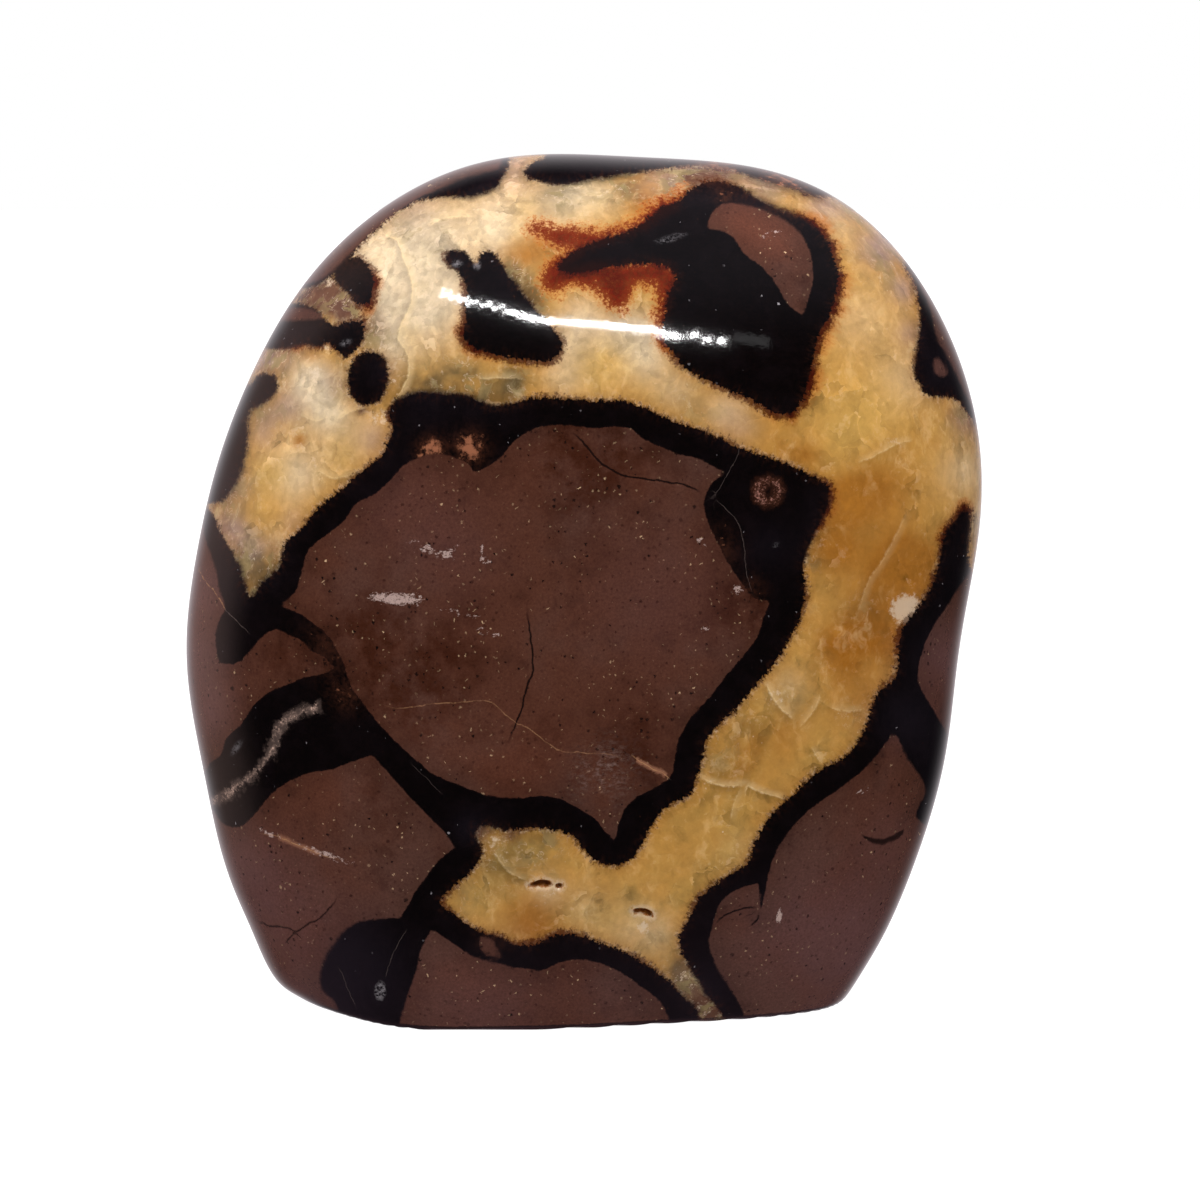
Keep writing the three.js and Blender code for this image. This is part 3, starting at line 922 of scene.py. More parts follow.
    frost: tuple[Tint, ...] = each(
        Tint,
        (36.1, -2.6, 1.7), (-12.4, -30.4, 2.4, 0.5), (5.2, -40.3, 0.8, 0.9), (12.2, -49.2, 1.2, 0.4),
        (-33.8, 25.6, 1.3, 0.6), (36.6, -2.2, 1.4, 0.6), (-24.6, 24.6, 0.9, 0.4), (20.8, -12.6, 1.6, 0.5),
        (13, -22.9, 1.4, 0.3), (-6.6, -36.2, 1.8, 0.4), (35, 17.4, 1.3, 0.4), (-25.5, 36, 2.2, 0.3),
        (-26, 20.3, 1.4, 0.6), (-30.8, 33.6, 1.4, 0.25), (-32.2, 36.4, 0.9, 0.6), (0.6, -21.8, 3.4, 0.6),
        (-14.9, 28, 1.4, 0.4), (-32.4, 28.6, 0.8, 0.6),
    )
    red: tuple[Tint, ...] = each(
        Tint,
        (-28, -5.5, 6, 0.9), (-21, -8, 6, 0.6), (5, 15.5, 6, 0.6), (16.5, -2, 2.6, 0.9), (-26, 4, 3, 0.4),
        (-8, -21.5, 6, 0.5), (-22, -16, 5, 0.5), (4.5, -21, 2.6, 0.7), (-37, -8, 4, 0.5),
        (-25.5, -25.5, 6, 0.35), (-20, 17, 3, 0.5), (20, 40.5, 6, 0.25), (-2, 17.5, 5, 0.8),
        (-4, 14, 5, 0.8), (16, -3.5, 5, 0.6), (0, 8, 5, 0.4), (-18, -10, 5, 0.3), (16.6, -2.4, 3, 0.5),
        (4, -17, 4, 0.3), (-24, -12, 5, 0.6), (4, -16.5, 4, 0.6), (-32.6, 34.9, 2.2, 1.3),
        (-30.4, 33, 1.5, 0.9), (12.6, 49.5, 1.8, 1), (15.4, 49.6, 1.6, 0.6), (10.4, 48.9, 1.4, 0.7),
        (12.8, -50, 2.6, 1.2), (10.4, -46.4, 1.8, 0.5), (-14.4, -28.6, 1.5, 1), (-10.4, -29, 1.8, 0.6),
        (-28.2, 21.2, 1.2, 0.7), (-35.6, 34.4, 1.6, 0.6),
    )
    brown_rim: tuple[Tint, ...] = each(
        Tint,
        (-32, -7, 3.2, 0.4), (13.6, 4.6, 2.4, 0.5), (-20.4, 16.4, 1.3), (-15.4, 16.6, 1.7, 1.3),
        (-19.6, 16.8, 1.4, 0.6), (15, 46.6, 1.1, 0.5), (18, -0.2, 1.4, 0.6), (-30, -12.4, 2, 0.5),
        (-29.4, 41.6, 3, 0.4), (22, 48.8, 3.4, 0.8), (14, 51, 2.6, 1), (-12.8, -42, 1.6, 0.4),
    )
    # Where the black's edges are rusty.
    burnt: tuple[Tint, ...] = each(
        Tint,
        (29, 39, 5), (28.5, 32, 5), (25.6, 25, 4), (22, 20, 3, 0.9), (16, 23, 4, 0.6), (8, 28.5, 3, 0.8),
        (-4.6, 38, 3.4), (7.6, 46.6, 3.4, 0.5), (14, 49, 3, 0.5), (24, 45, 4, 0.6), (-26.6, 36.4, 2.4),
        (-27.6, 32.8, 1.6, 1), (-16.8, 30.5, 3.2, 0.8), (-14.6, 27.8, 3, 0.6), (-6.2, 26.6, 3.4, 0.7),
        (-11, 27, 3, 0.4), (-16.4, 35.5, 1.8, 0.6), (36.8, 36, 2, 0.3), (37.6, 27, 2, 0.3),
        (-36, 28.6, 2, 0.8), (-32.6, 29, 1.6, 0.6), (43.2, 10, 2.2, 1), (40.8, 6, 2.6, 0.9),
        (38.8, 1, 2, 0.6), (35.4, -6, 2.4, 0.7), (33.6, -10.8, 1.6, 0.5), (-9, -42, 3.4, 0.6),
        (-4, -41, 2.6, 0.5), (-13.4, -41, 2, 0.4), (-18.4, -37, 1.8, 0.6), (11.4, -37.6, 2.4, 0.5),
        (5, -44.4, 2.4, 0.4), (27.6, 10.6, 3, 1.2), (25.8, 7, 2, 0.5), (24.4, -1, 2, 0.4),
        (-24.6, 20.4, 1.4, 0.8), (-27.4, 14.8, 1.6, 0.4), (26.6, 42.6, 3, 0.5), (-18.4, 39, 1.2, 0.5),
    )
    # Pinkish grey: a painted sheen along the edges and bottom, and the mudstone's own tone in the heart.
    lilac: tuple[Tint, ...] = each(
        Tint,
        (-47.5, 0, 4), (-48, -8, 4), (-47, -15, 3.6, 0.9), (-44, -34, 6, 0.9), (-38, -40, 8, 0.6),
        (-24.5, 11, 6, 0.25), (-18, 5, 6, 0.3), (7, -1, 8, 0.3), (31, -42, 8), (35, -30, 5, 0.4),
        (22, -41, 7, 0.4), (-14, -49, 7, 0.6), (2, -48, 6, 0.3), (41, -8, 4), (36.6, -15.5, 3.6, 0.9),
        (20, 5, 3, 0.5), (-28, -46, 6, 0.7), (-34.6, 35.6, 2.6, 0.9), (-36.5, 30.6, 2.4, 0.4),
        (11.6, -48.4, 3.4, 0.5), (-44, 12.5, 2.2, 0.7), (-40.8, 27.4, 2.4, 0.8), (-37.4, 21.6, 2, 0.6),
        (-31.6, 24.4, 1.8, 0.35), (-41.6, 5.6, 2.2, 0.6), (-44.8, 7, 2.2, 0.8), (-38, 28, 2, 0.5),
        (-27, 18, 2.2, 0.5), (-40, 18.4, 2.2, 0.5), (-36.4, 8, 1.8, 0.4), (-25.6, 26, 1.6, 0.4),
        (16, 19.4, 2.6, 0.5), (-38.4, 5, 1.8, 0.3), (20, 48, 2.6, 0.9), (26, 45.6, 2.4, 0.5),
        (33.4, 40.6, 2.8, 0.9), (36.2, 35.6, 2, 0.8), (37, 30.4, 1.8, 0.7), (-26.4, 31.4, 1.8, 0.3),
        (7, 49.6, 3, 0.6), (44, 20, 2.4, 0.6), (14, 50.2, 4, 0.9), (-10.4, 50, 2.6, 0.8),
        (28.6, 46.6, 3, 0.6), (-15.8, -28.4, 1.8, 0.7), (-30.2, 33, 1.6, 0.6), (-22, 46, 3, 0.4),
        (40.6, 26, 3, 0.5),
    )
    # Where the mudstone is lighter and rosier.
    rosy: tuple[Tint, ...] = each(
        Tint,
        (17, 43.6, 3, 0.8), (21, 41.6, 2.8, 0.8), (-20, -19, 5, 0.3), (-10, -21.5, 5, 0.4),
        (-31, -23.5, 4, 0.3), (-16, -46, 3, 0.3),
    )
    vugs: tuple[Points, ...] = (
        (
            (-8.5, -35.2), (-7.7, -34.8), (-6.9, -34.6), (-6, -34.8), (-5.6, -35.2), (-6.2, -35.5),
            (-7, -35.4), (-7.8, -35.5),
        ),
        ((-5.3, -35.2), (-4.9, -35), (-4.4, -35.2), (-4.6, -35.6), (-5.1, -35.6)),
        (
            (3.9, -38.2), (4.8, -38), (5.8, -38.2), (6.3, -38.7), (6.2, -39.1), (5.6, -38.9), (4.8, -38.6),
            (4.1, -38.6),
        ),
    )
    soft: tuple[Tint, ...] = each(
        Tint,
        (26, 8.8, 3, 0.55), (24, 5, 2, 0.4), (43, 6, 3.4, 0.4), (40, 1, 3, 0.35), (-40, 3, 2.6, 0.5),
        (-10, 36.8, 3.2, 0.7), (-6.6, 33, 2.4, 0.5), (38.8, -20, 4, 0.5), (22, 49, 5, 0.5),
        (-32.4, 37, 3.6, 0.6), (-36.5, 30.5, 4, 0.7), (-28.5, 25, 3.4, 0.3), (-41, 22, 4, 0.8),
        (-44.5, 14, 4.5), (-17, 38.6, 2, 0.5), (-15, 48, 5), (0, 49.5, 7), (-20.5, 23, 4.4),
        (-13, 22.6, 3.2, 0.7), (40, 28, 6, 0.5), (-42, 2, 4, 0.7), (22, 49, 6, 0.9), (-31, -43.5, 5),
        (-27, -49, 5, 0.5), (12, -47.5, 3.6, 0.8), (-12.8, -43, 2.2, 0.6), (-13.6, -28.4, 2.6, 0.7),
    )
    ring: Ring = Ring()


@dataclass(frozen=True)
class BackMarkings:
    """The back's markings, laid out like the face's, as if seen from the front through the stone.
    Calcite fills what lies further from the blocks than the black rim is wide."""

    rim: float = 3.1  # mm
    rim_change: float = 0.9
    blocks: tuple[Points, ...] = (
        # Along the top.
        (
            (-6.5, 60), (8.5, 60), (9.6, 49), (10.4, 42), (7.5, 35), (2, 31), (-4, 32.5), (-8, 37.5),
            (-8.4, 44), (-7, 50),
        ),
        ((18.6, 60), (19.2, 49.5), (20.5, 46), (23.5, 43.8), (26, 44.4), (26.6, 47), (30, 58)),
        # Down the upper left.
        (
            (-15, 60), (-15.2, 48), (-17, 42), (-21, 37), (-26.5, 34), (-33, 33.5), (-40, 33.5), (-52, 35),
            (-44, 50), (-28, 60),
        ),
        (
            (-60, 22), (-46, 21.6), (-39, 23.6), (-33.5, 22.6), (-31, 18.6), (-34, 14.6), (-41, 13.6),
            (-60, 13.6),
        ),
        # The left side and the lower left.
        (
            (-60, 8), (-47, 7.6), (-39, 8.6), (-33, 6.8), (-29.2, 1.6), (-30.6, -6.5), (-34.6, -13.5),
            (-40, -18.6), (-47, -21.8), (-60, -23),
        ),
        (
            (-60, -27), (-47, -27), (-39, -25.2), (-31, -22.6), (-26, -23), (-23.4, -28), (-24.6, -35.5),
            (-29, -41), (-32.6, -46), (-34, -58), (-60, -58),
        ),
        # The foot and the lower right.
        (
            (-22, -58), (-20.6, -47.5), (-16.6, -41.6), (-10, -38.4), (-2.4, -39.4), (3.2, -43), (6.6, -48),
            (8, -58),
        ),
        (
            (18, -58), (17.4, -47.5), (17, -39.5), (20, -31.6), (26.4, -27), (33, -26.6), (40, -28.6),
            (54, -30), (54, -58),
        ),
        # The right side.
        (
            (56, 2), (44, 1.4), (37, 2.4), (31.2, 0.2), (28.4, -5.6), (30.2, -12.4), (35.4, -16.8),
            (42, -17.6), (56, -18),
        ),
        (
            (58, 24), (44, 23.4), (37.6, 21.4), (31.6, 22.6), (28.4, 28), (29.4, 34), (33.4, 37.4),
            (39, 36.4), (56, 37),
        ),
        # The heart of the back.
        (
            (-15, 25.6), (-8, 24.4), (-2, 20.6), (-2, 20.6), (4.5, 19.6), (10.6, 22.8), (15.6, 21.6),
            (17, 15), (14.6, 7), (16.4, -3), (16.4, -3), (13.6, -11), (12.4, -19.6), (6.4, -24.6),
            (-2, -26), (-8.6, -23.4), (-12, -16), (-16.6, -9.6), (-20, -5), (-20, -5), (-17.2, 1.6),
            (-18.8, 9), (-22.6, 13.6), (-21.6, 20.6),
        ),
    )
    cracks: tuple[Hairline, ...] = (
        Hairline(((-20, -5), (-14, -3.4), (-8, -5.4), (-1, -4), (6, -6), (12, -3.6), (16, -3)), 0.7),
        Hairline(((-5, 20.8), (-5.6, 13), (-3.6, 6), (-5, -1), (-4.4, -4.4)), 0.6),
        Hairline(((-44, -4), (-39, -5.4), (-34, -4), (-30.6, -5)), 0.6),
        Hairline(((22, -33), (27, -37), (33, -37.6), (38, -40)), 0.7),
    )
    smudges: tuple[Smudge, ...] = each(
        Smudge,
        (3, 9, 5, 0.8, 12), (-11, 12, 2.4, 0.7, -30), (6, -14, 3, 0.5, 8),
    )
    cream: tuple[Tint, ...] = each(
        Tint,
        (-13, 33, 7, 0.8), (20, 33, 7, 0.7), (-26, 12, 6, 0.6), (14, -36, 5, 0.4),
    )
    amber: tuple[Tint, ...] = each(
        Tint,
        (24, 8, 8, 0.8), (22, -18, 6, 0.7), (-24, -14, 6, 0.5), (-16, -33, 7, 0.4),
    )


@dataclass(frozen=True)
class Wander:
    """A slow sway, in millimetres, that keeps the strip round the edge from being drawn out straight."""

    size: float = 1.1
    waves: tuple[Triple, ...] = ((0.31, 0.42, 0.23), (-0.22, 0.37, 0.35), (0.13, -0.61, 0.28))
    across_lag: float = 1.7  # radians from one wave to the next
    up_lag: float = 2.3

    def sway(self, points: np.ndarray) -> np.ndarray:
        """Give each point its sway across and up.

        Args:
            points: Points in millimetres.

        Returns:
            Two numbers for each point.
        """
        total = np.zeros((len(points), 2))
        for turn, wave in enumerate(self.waves):
            total[:, 0] += np.sin(points @ np.array(wave) + self.across_lag * turn)
            total[:, 1] += np.cos(points @ np.array(wave[::-1]) + self.up_lag * turn)
        return total * self.size / len(self.waves)


def spread(tints: Iterable[Tint], places: np.ndarray) -> np.ndarray:
    """Add up how strongly each place takes a colour from several soft spots.

    Args:
        tints: The spots.
        places: Places in millimetres.

    Returns:
        A share from 0 to 1 for each place.
    """
    total = np.zeros(len(places))
    for tint in tints:
        square = ((places - np.array(tint.centre)) ** 2).sum(1)
        total += tint.strength * np.exp(-square / tint.reach**2)
    return np.minimum(total, 1.0)


def nearest_smudge(smudges: Iterable[Smudge], places: np.ndarray) -> np.ndarray:
    """Measure how far out of the nearest smudge each place is.

    Args:
        smudges: The smudges.
        places: Places in millimetres.

    Returns:
        Millimetres, negative within a smudge.
    """
    least = np.full(len(places), FAR)
    for smudge in smudges:
        turn = math.radians(smudge.tilt)
        offset = places - np.array(smudge.centre)
        along = offset[:, 0] * math.cos(turn) + offset[:, 1] * math.sin(turn)
        across = offset[:, 1] * math.cos(turn) - offset[:, 0] * math.sin(turn)
        share = np.hypot(along * 2 / smudge.length, across * 2 / smudge.height)
        least = np.minimum(least, (share - 1.0) * smudge.height / 2)
    return least


def nearest_hairline(hairlines: Iterable[Hairline], places: np.ndarray) -> np.ndarray:
    """Measure each place against the nearest of several hairlines.

    Args:
        hairlines: The hairlines.
        places: Places in millimetres.

    Returns:
        Three numbers for each place: millimetres off the line, negative on its right, the same without
        its sign, and how strong the line is there.
    """
    off = np.full(len(places), FAR)
    strength = np.zeros(len(places))
    for hairline in hairlines:
        reach = reach_of(smooth_path(hairline.points, closed=False), places, HAIRLINE_NEAR)
        closer = reach.away < np.abs(off)
        off[closer] = (reach.away * reach.side)[closer]
        ends = eased(np.minimum(reach.along, 1 - reach.along), 0.0, hairline.fade)
        strength[closer] = (ends * hairline.strength)[closer]
    return np.stack([off, np.abs(off), strength], 1)


# The tints that the show face has, and those that the back has too.
FACE_TINTS = (
    "cream", "straw", "amber", "smoke", "frost", "red", "brown_rim", "burnt", "lilac", "rosy", "soft",
)
BACK_TINTS = ("cream", "amber")


@dataclass
class Layout:
    """Where each point of the mesh is looked up: on the face's layout, on the back's, and how far it has
    passed from the one to the other."""

    face: np.ndarray
    back: np.ndarray
    passed: np.ndarray


@dataclass
class Markings:
    """All the stone's markings, and the numbers that carry them to the mesh."""

    viewpoint: Viewpoint
    face: FaceMarkings = FaceMarkings()
    back: BackMarkings = BackMarkings()
    wander: Wander = Wander()
    pass_from: float = 3.0  # mm behind the middle plane where the face's markings begin to give way
    pass_to: float = 14.0
    middle: Pair = (-2.0, -0.6)  # mm on the layout plane, well inside the outline
    spokes: int = 480  # how many directions the outline is measured in

    def outline_at(self, angle: np.ndarray, radius: np.ndarray) -> np.ndarray:
        """Find how far out the seen outline lies in each point's direction.

        Args:
            angle: Each point's direction from the middle, in radians.
            radius: Each point's distance from the middle.

        Returns:
            Radii in millimetres.
        """
        turn = (angle / math.tau) % 1.0 * self.spokes
        furthest = np.zeros(self.spokes)
        np.maximum.at(furthest, np.round(turn).astype(int) % self.spokes, radius)
        wrapped = np.append(furthest, furthest[0])
        return np.interp(turn, np.arange(self.spokes + 1), wrapped)

    def lay_out(self, points: np.ndarray, normals: np.ndarray) -> Layout:
        """Look the mesh's points up. Points that the viewpoint can't see are turned out past the outline.

        Args:
            points: The mesh's points, in millimetres.
            normals: The surface's directions there.

        Returns:
            The layout.
        """
        middle = np.array(self.middle)
        seen = self.viewpoint.laid_out(points)
        offset = seen - middle
        radius = np.hypot(offset[:, 0], offset[:, 1])
        angle = np.arctan2(offset[:, 1], offset[:, 0])
        edge = self.outline_at(angle, radius)
        hidden = (normals * (self.viewpoint.eye - points)).sum(1) <= 0
        turned = np.where(hidden, 2 * edge - radius, radius)
        face = middle + np.stack([np.cos(angle), np.sin(angle)], 1) * turned[:, None]
        behind = points[:, 1] - self.viewpoint.target[1]
        passed = eased(behind, self.pass_from, self.pass_to)
        sway = self.wander.sway(points) * passed[:, None]
        back = (points - np.array(self.viewpoint.target))[:, [0, 2]]
        return Layout(face + sway, back + sway, passed)

    def zones(self, layout: Layout, points: np.ndarray) -> dict[str, np.ndarray]:
        """Measure mudstone and calcite, and find the nearest spot on the calcite's edge.

        Args:
            layout: Where the points are looked up.
            points: The mesh's points, in millimetres.

        Returns:
            One number for each point, under each name.
        """
        share = layout.passed
        veins = zone_of(self.face.veins, layout.face)
        spots = zone_of(self.face.black_spots, layout.face)
        calcite = veins.turned().joined(spots).turned()
        mud = zone_of(self.face.blocks, layout.face).depth
        back_mud = zone_of(self.back.blocks, layout.back)
        rim = self.back.rim + self.back.rim_change * self.wander.sway(points)[:, 0]
        foot = np.where((share > HALF_WAY)[:, None], back_mud.foot, calcite.foot)
        return {
            "mud": mud * (1 - share) + back_mud.depth * share,
            "calcite": calcite.depth * (1 - share) + (rim - back_mud.depth) * share,
            "foot_across": foot[:, 0],
            "foot_up": foot[:, 1],
            "behind": share,
        }

    def spots(self, layout: Layout) -> dict[str, np.ndarray]:
        """Measure stains, smudges, the ring, the hollows and the tints.

        Args:
            layout: Where the points are looked up.

        Returns:
            One number for each point, under each name.
        """
        face, back, share = layout.face, layout.back, layout.passed
        found = {
            "rust": zone_of(self.face.rust, face).depth,
            "eye": zone_of((self.face.eye,), face).depth,
            "vug": zone_of(self.face.vugs, face).depth,
            "ring": np.hypot(*(face - np.array(self.face.ring.centre)).T) - self.face.ring.radius,
        }
        found = {name: depth + FAR * share for name, depth in found.items()}
        smudge = nearest_smudge(self.face.smudges, face)
        found["smudge"] = np.where(share > HALF_WAY, nearest_smudge(self.back.smudges, back), smudge)
        for name in FACE_TINTS:
            found[name] = spread(getattr(self.face, name), face) * (1 - share)
        for name in BACK_TINTS:
            found[name] += spread(getattr(self.back, name), back) * share
        return found

    def hairlines(self, layout: Layout) -> dict[str, np.ndarray]:
        """Measure cracks, threads and gleams.

        Args:
            layout: Where the points are looked up.

        Returns:
            Three numbers for each point, under each name.
        """
        share = layout.passed[:, None]
        found = {
            name: nearest_hairline(getattr(self.face, name), layout.face) * (1 - share) + share
            for name in ("threads", "gleams")
        }
        cracks = nearest_hairline(self.face.cracks, layout.face)
        cracks_behind = nearest_hairline(self.back.cracks, layout.back)
        return {**found, "cracks": np.where(share > HALF_WAY, cracks_behind, cracks)}

    def carried(self, points: np.ndarray, normals: np.ndarray) -> dict[str, np.ndarray]:
        """Work out everything that the mesh carries.

        Args:
            points: The mesh's points, in millimetres.
            normals: The surface's directions there.

        Returns:
            Three numbers for each point, under each set's name.
        """
        layout = self.lay_out(points, normals)
        found = {**self.zones(layout, points), **self.spots(layout)}
        sets = {name: np.stack([found[part] for part in parts], 1) for name, parts in CARRIED.items()}
        return {**sets, **self.hairlines(layout)}


class Wire:
    """A value inside a material, which plain arithmetic can be done with: each operator adds a node."""

    def __init__(self, bench: "Bench", socket: bpy.types.NodeSocket) -> None:
        """Hold an output socket of a material's node tree."""
        self.bench = bench
        self.socket = socket

    def other(self, name: str) -> "Wire":
        """Give another output of the same node."""
        return Wire(self.bench, self.socket.node.outputs[name])

    def reckon(self, operation: str, *values: "Feed") -> "Wire":
        """Add a Math node whose first value is given first."""
        return self.bench.node("ShaderNodeMath", {"operation": operation}, dict(enumerate(values)))

    def __add__(self, value: "Feed") -> "Wire":
        """Add."""
        return self.reckon("ADD", self, value)

    def __radd__(self, value: "Feed") -> "Wire":
        """Add to a number."""
        return self.reckon("ADD", value, self)

    def __sub__(self, value: "Feed") -> "Wire":
        """Subtract."""
        return self.reckon("SUBTRACT", self, value)

    def __rsub__(self, value: "Feed") -> "Wire":
        """Subtract from a number."""
        return self.reckon("SUBTRACT", value, self)

    def __mul__(self, value: "Feed") -> "Wire":
        """Multiply."""
        return self.reckon("MULTIPLY", self, value)

    def __rmul__(self, value: "Feed") -> "Wire":
        """Multiply a number."""
        return self.reckon("MULTIPLY", value, self)

    def __truediv__(self, value: "Feed") -> "Wire":
        """Divide."""
        return self.reckon("DIVIDE", self, value)

    def __pow__(self, value: "Feed") -> "Wire":
        """Raise to a power."""
        return self.reckon("POWER", self, value)

    def __abs__(self) -> "Wire":
        """Drop the sign."""
        return self.reckon("ABSOLUTE", self)

    def most(self, value: "Feed") -> "Wire":
        """Take the greater of two values."""
        return self.reckon("MAXIMUM", self, value)

    def least(self, value: "Feed") -> "Wire":
        """Take the lesser of two values."""
        return self.reckon("MINIMUM", self, value)

    def rise(self, low: float, high: float) -> "Wire":
        """Rise smoothly from 0 at low to 1 at high."""
        feeds = {"Value": self, "From Min": low, "From Max": high}
        return self.bench.node("ShaderNodeMapRange", {"interpolation_type": "SMOOTHSTEP"}, feeds)

    def fall(self, low: float, high: float) -> "Wire":
        """Fall smoothly from 1 at low to 0 at high."""
        return 1.0 - self.rise(low, high)

    def vector(self, operation: str, value: "Feed", output: int | str = 0) -> "Wire":
        """Do vector arithmetic with another value."""
        settings = {"operation": operation}
        return self.bench.node("ShaderNodeVectorMath", settings, {0: self, 1: value}, output)

    def scaled(self, amount: "Feed") -> "Wire":
        """Make a colour or a vector larger or smaller by a factor."""
        return self.bench.node("ShaderNodeVectorMath", {"operation": "SCALE"}, {0: self, "Scale": amount})

    def parts(self) -> "Trio":
        """Split a vector or a colour into its three numbers."""
        first = self.bench.node("ShaderNodeSeparateXYZ", {}, {0: self})
        return first, first.other("Y"), first.other("Z")

    def aside(self, step: "Aside") -> "Wire":
        """Step aside from a place, so that one pattern doesn't line up with another."""
        return self.vector("ADD", step.value)

    def lifted(self, height: "Wire") -> "Wire":
        """Move a place on the layout plane out along a pattern's third axis."""
        return self.vector("ADD", self.bench.joined(0.0, 0.0, height))

    def noise(self, size: float, detail: float, rough: float = 0.5) -> "Wire":
        """Lay a cloudy pattern over places in millimetres.

        Args:
            size: How large its clouds are, in millimetres.
            detail: How many finer patterns are added to it.
            rough: How strong the finer patterns are.

        Returns:
            The pattern, about 0.5 on average.
        """
        feeds = {"Vector": self, "Scale": 1 / size, "Detail": detail, "Roughness": rough}
        return self.bench.node("ShaderNodeTexNoise", {}, feeds)

    def cells(self, size: float) -> "Wire":
        """Lay a pattern of cells over places in millimetres.

        Args:
            size: How large a cell is, in millimetres.

        Returns:
            The distance from the cell's middle, as a share of the cell.
        """
        return self.bench.node("ShaderNodeTexVoronoi", {}, {"Vector": self, "Scale": 1 / size}, "Distance")

    def between(self, low: "Feed", high: "Feed") -> "Wire":
        """Go from one colour, where this share is 0, to another, where it is 1."""
        settings = {"data_type": "RGBA", "clamp_factor": True}
        return self.bench.node("ShaderNodeMix", settings, {0: self, 6: low, 7: high}, 2)

    def under(self, top: "Feed", share: "Wire") -> "Wire":
        """Lay another colour over this one."""
        return share.between(self, top)


Feed = Wire | float | int | tuple
Trio = tuple[Wire, Wire, Wire]


class Aside(Enum):
    """Steps aside, in millimetres."""

    LARGE_SPECKS = (9.0, 4.0, 2.0)
    CROWDS = (2.0, 8.0, 5.0)
    FLECKS = (31.0, 17.0, 5.0)
    RARE_FLECKS = (3.0, 7.0, 25.0)
    GLINT_POINTS = (7.0, 3.0, 11.0)
    SMALL_FACETS = (13.0, 5.0, 2.0)
    OTHER_CLOUDS = (40.0, 3.0, 21.0)
    PANES = (6.0, 9.0, 14.0)
    SPARKS = (5.0, 2.0, 8.0)


class Bench:
    """One material's node tree."""

    def __init__(self, tree: bpy.types.NodeTree) -> None:
        """Clear a node tree and hold it."""
        tree.nodes.clear()
        self.tree = tree

    def node(self, kind: str, settings: dict, feeds: dict, output: int | str = 0) -> Wire | None:
        """Lay one node.

        Args:
            kind: The node's type.
            settings: The node's own settings, set before anything is fed in.
            feeds: What each input takes, by name or number: a value or a wire.
            output: The output that is wanted.

        Returns:
            The output's wire, where the node has one.
        """
        node = self.tree.nodes.new(kind)
        for name, value in settings.items():
            setattr(node, name, value)
        for name, value in feeds.items():
            if isinstance(value, Wire):
                self.tree.links.new(value.socket, node.inputs[name])
            else:
                node.inputs[name].default_value = value
        return Wire(self, node.outputs[output]) if node.outputs else None

    def carried(self, name: str) -> Trio:
        """Read the three numbers that the mesh carries under a name."""
        return self.node("ShaderNodeAttribute", {"attribute_name": name}, {}, "Vector").parts()

    def joined(self, first: Feed, second: Feed, third: Feed) -> Wire:
        """Make a vector of three values."""
        return self.node("ShaderNodeCombineXYZ", {}, {0: first, 1: second, 2: third})


def fresh_material(name: str) -> tuple[bpy.types.Material, Bench]:
    """Make a material with an empty node tree.

    Args:
        name: The material's name.

    Returns:
        The material, and the bench for its nodes.
    """
    material = bpy.data.materials.new(name)
    material.use_nodes = True
    return material, Bench(material.node_tree)


@dataclass
class Spot:
    """All that the finishes know of the spot being coloured, in millimetres and shares."""

    place: Wire
    crumbled: Wire
    foot: Wire
    behind: Wire
    mud: Wire
    calcite: Wire
    rust: Wire
    eye: Wire
    ring: Wire
    smudge: Wire
    vug: Wire
    cream: Wire
    straw: Wire
    amber: Wire
    smoke: Wire
    frost: Wire
    red: Wire
    brown_rim: Wire
    burnt: Wire
    lilac: Wire
    rosy: Wire
    soft: Wire
    cracks: Trio
    threads: Trio
    gleams: Trio
    wobble: Wire
    broken: Wire

    @classmethod
    def read(cls, bench: Bench) -> "Spot":
        """Read what the mesh carries.

        Args:
            bench: The material's bench.

        Returns:
            The spot.
        """
        place = bench.node("ShaderNodeTexCoord", {}, {}, "Object").scaled(1 / MM)
        shake = place.noise(0.2, 2.0).other("Color").vector("SUBTRACT", MIDDLE_GREY)
        found = {name: bench.carried(name) for name in CARRIED_LINES}
        for name, parts in CARRIED.items():
            found.update(zip(parts, bench.carried(name)))
        return cls(
            place=place,
            crumbled=place.vector("ADD", shake.scaled(CRUMBLE)),
            foot=bench.joined(found.pop("foot_across"), found.pop("foot_up"), 0.0),
            wobble=(place.noise(1.3, 4.0, 0.65) - 0.5) * 0.7,
            broken=place.noise(0.9, 3.0, 0.7).rise(0.38, 0.58),
            **found,
        )


def hairline_share(spot: Spot, line: Trio, width: float) -> Wire:
    """Say how much of a hairline shows at the spot.

    Args:
        spot: The spot.
        line: Millimetres off the line with and without a sign, and its strength.
        width: Half its width in millimetres.

    Returns:
        A share from 0 to 1.
    """
    off, away, strength = line
    core = (abs(off + spot.wobble * 0.8) / strength.most(1.0)).fall(width * 0.3, width * 1.5)
    return core * away.fall(0.8, 1.2) * strength.least(1.0)


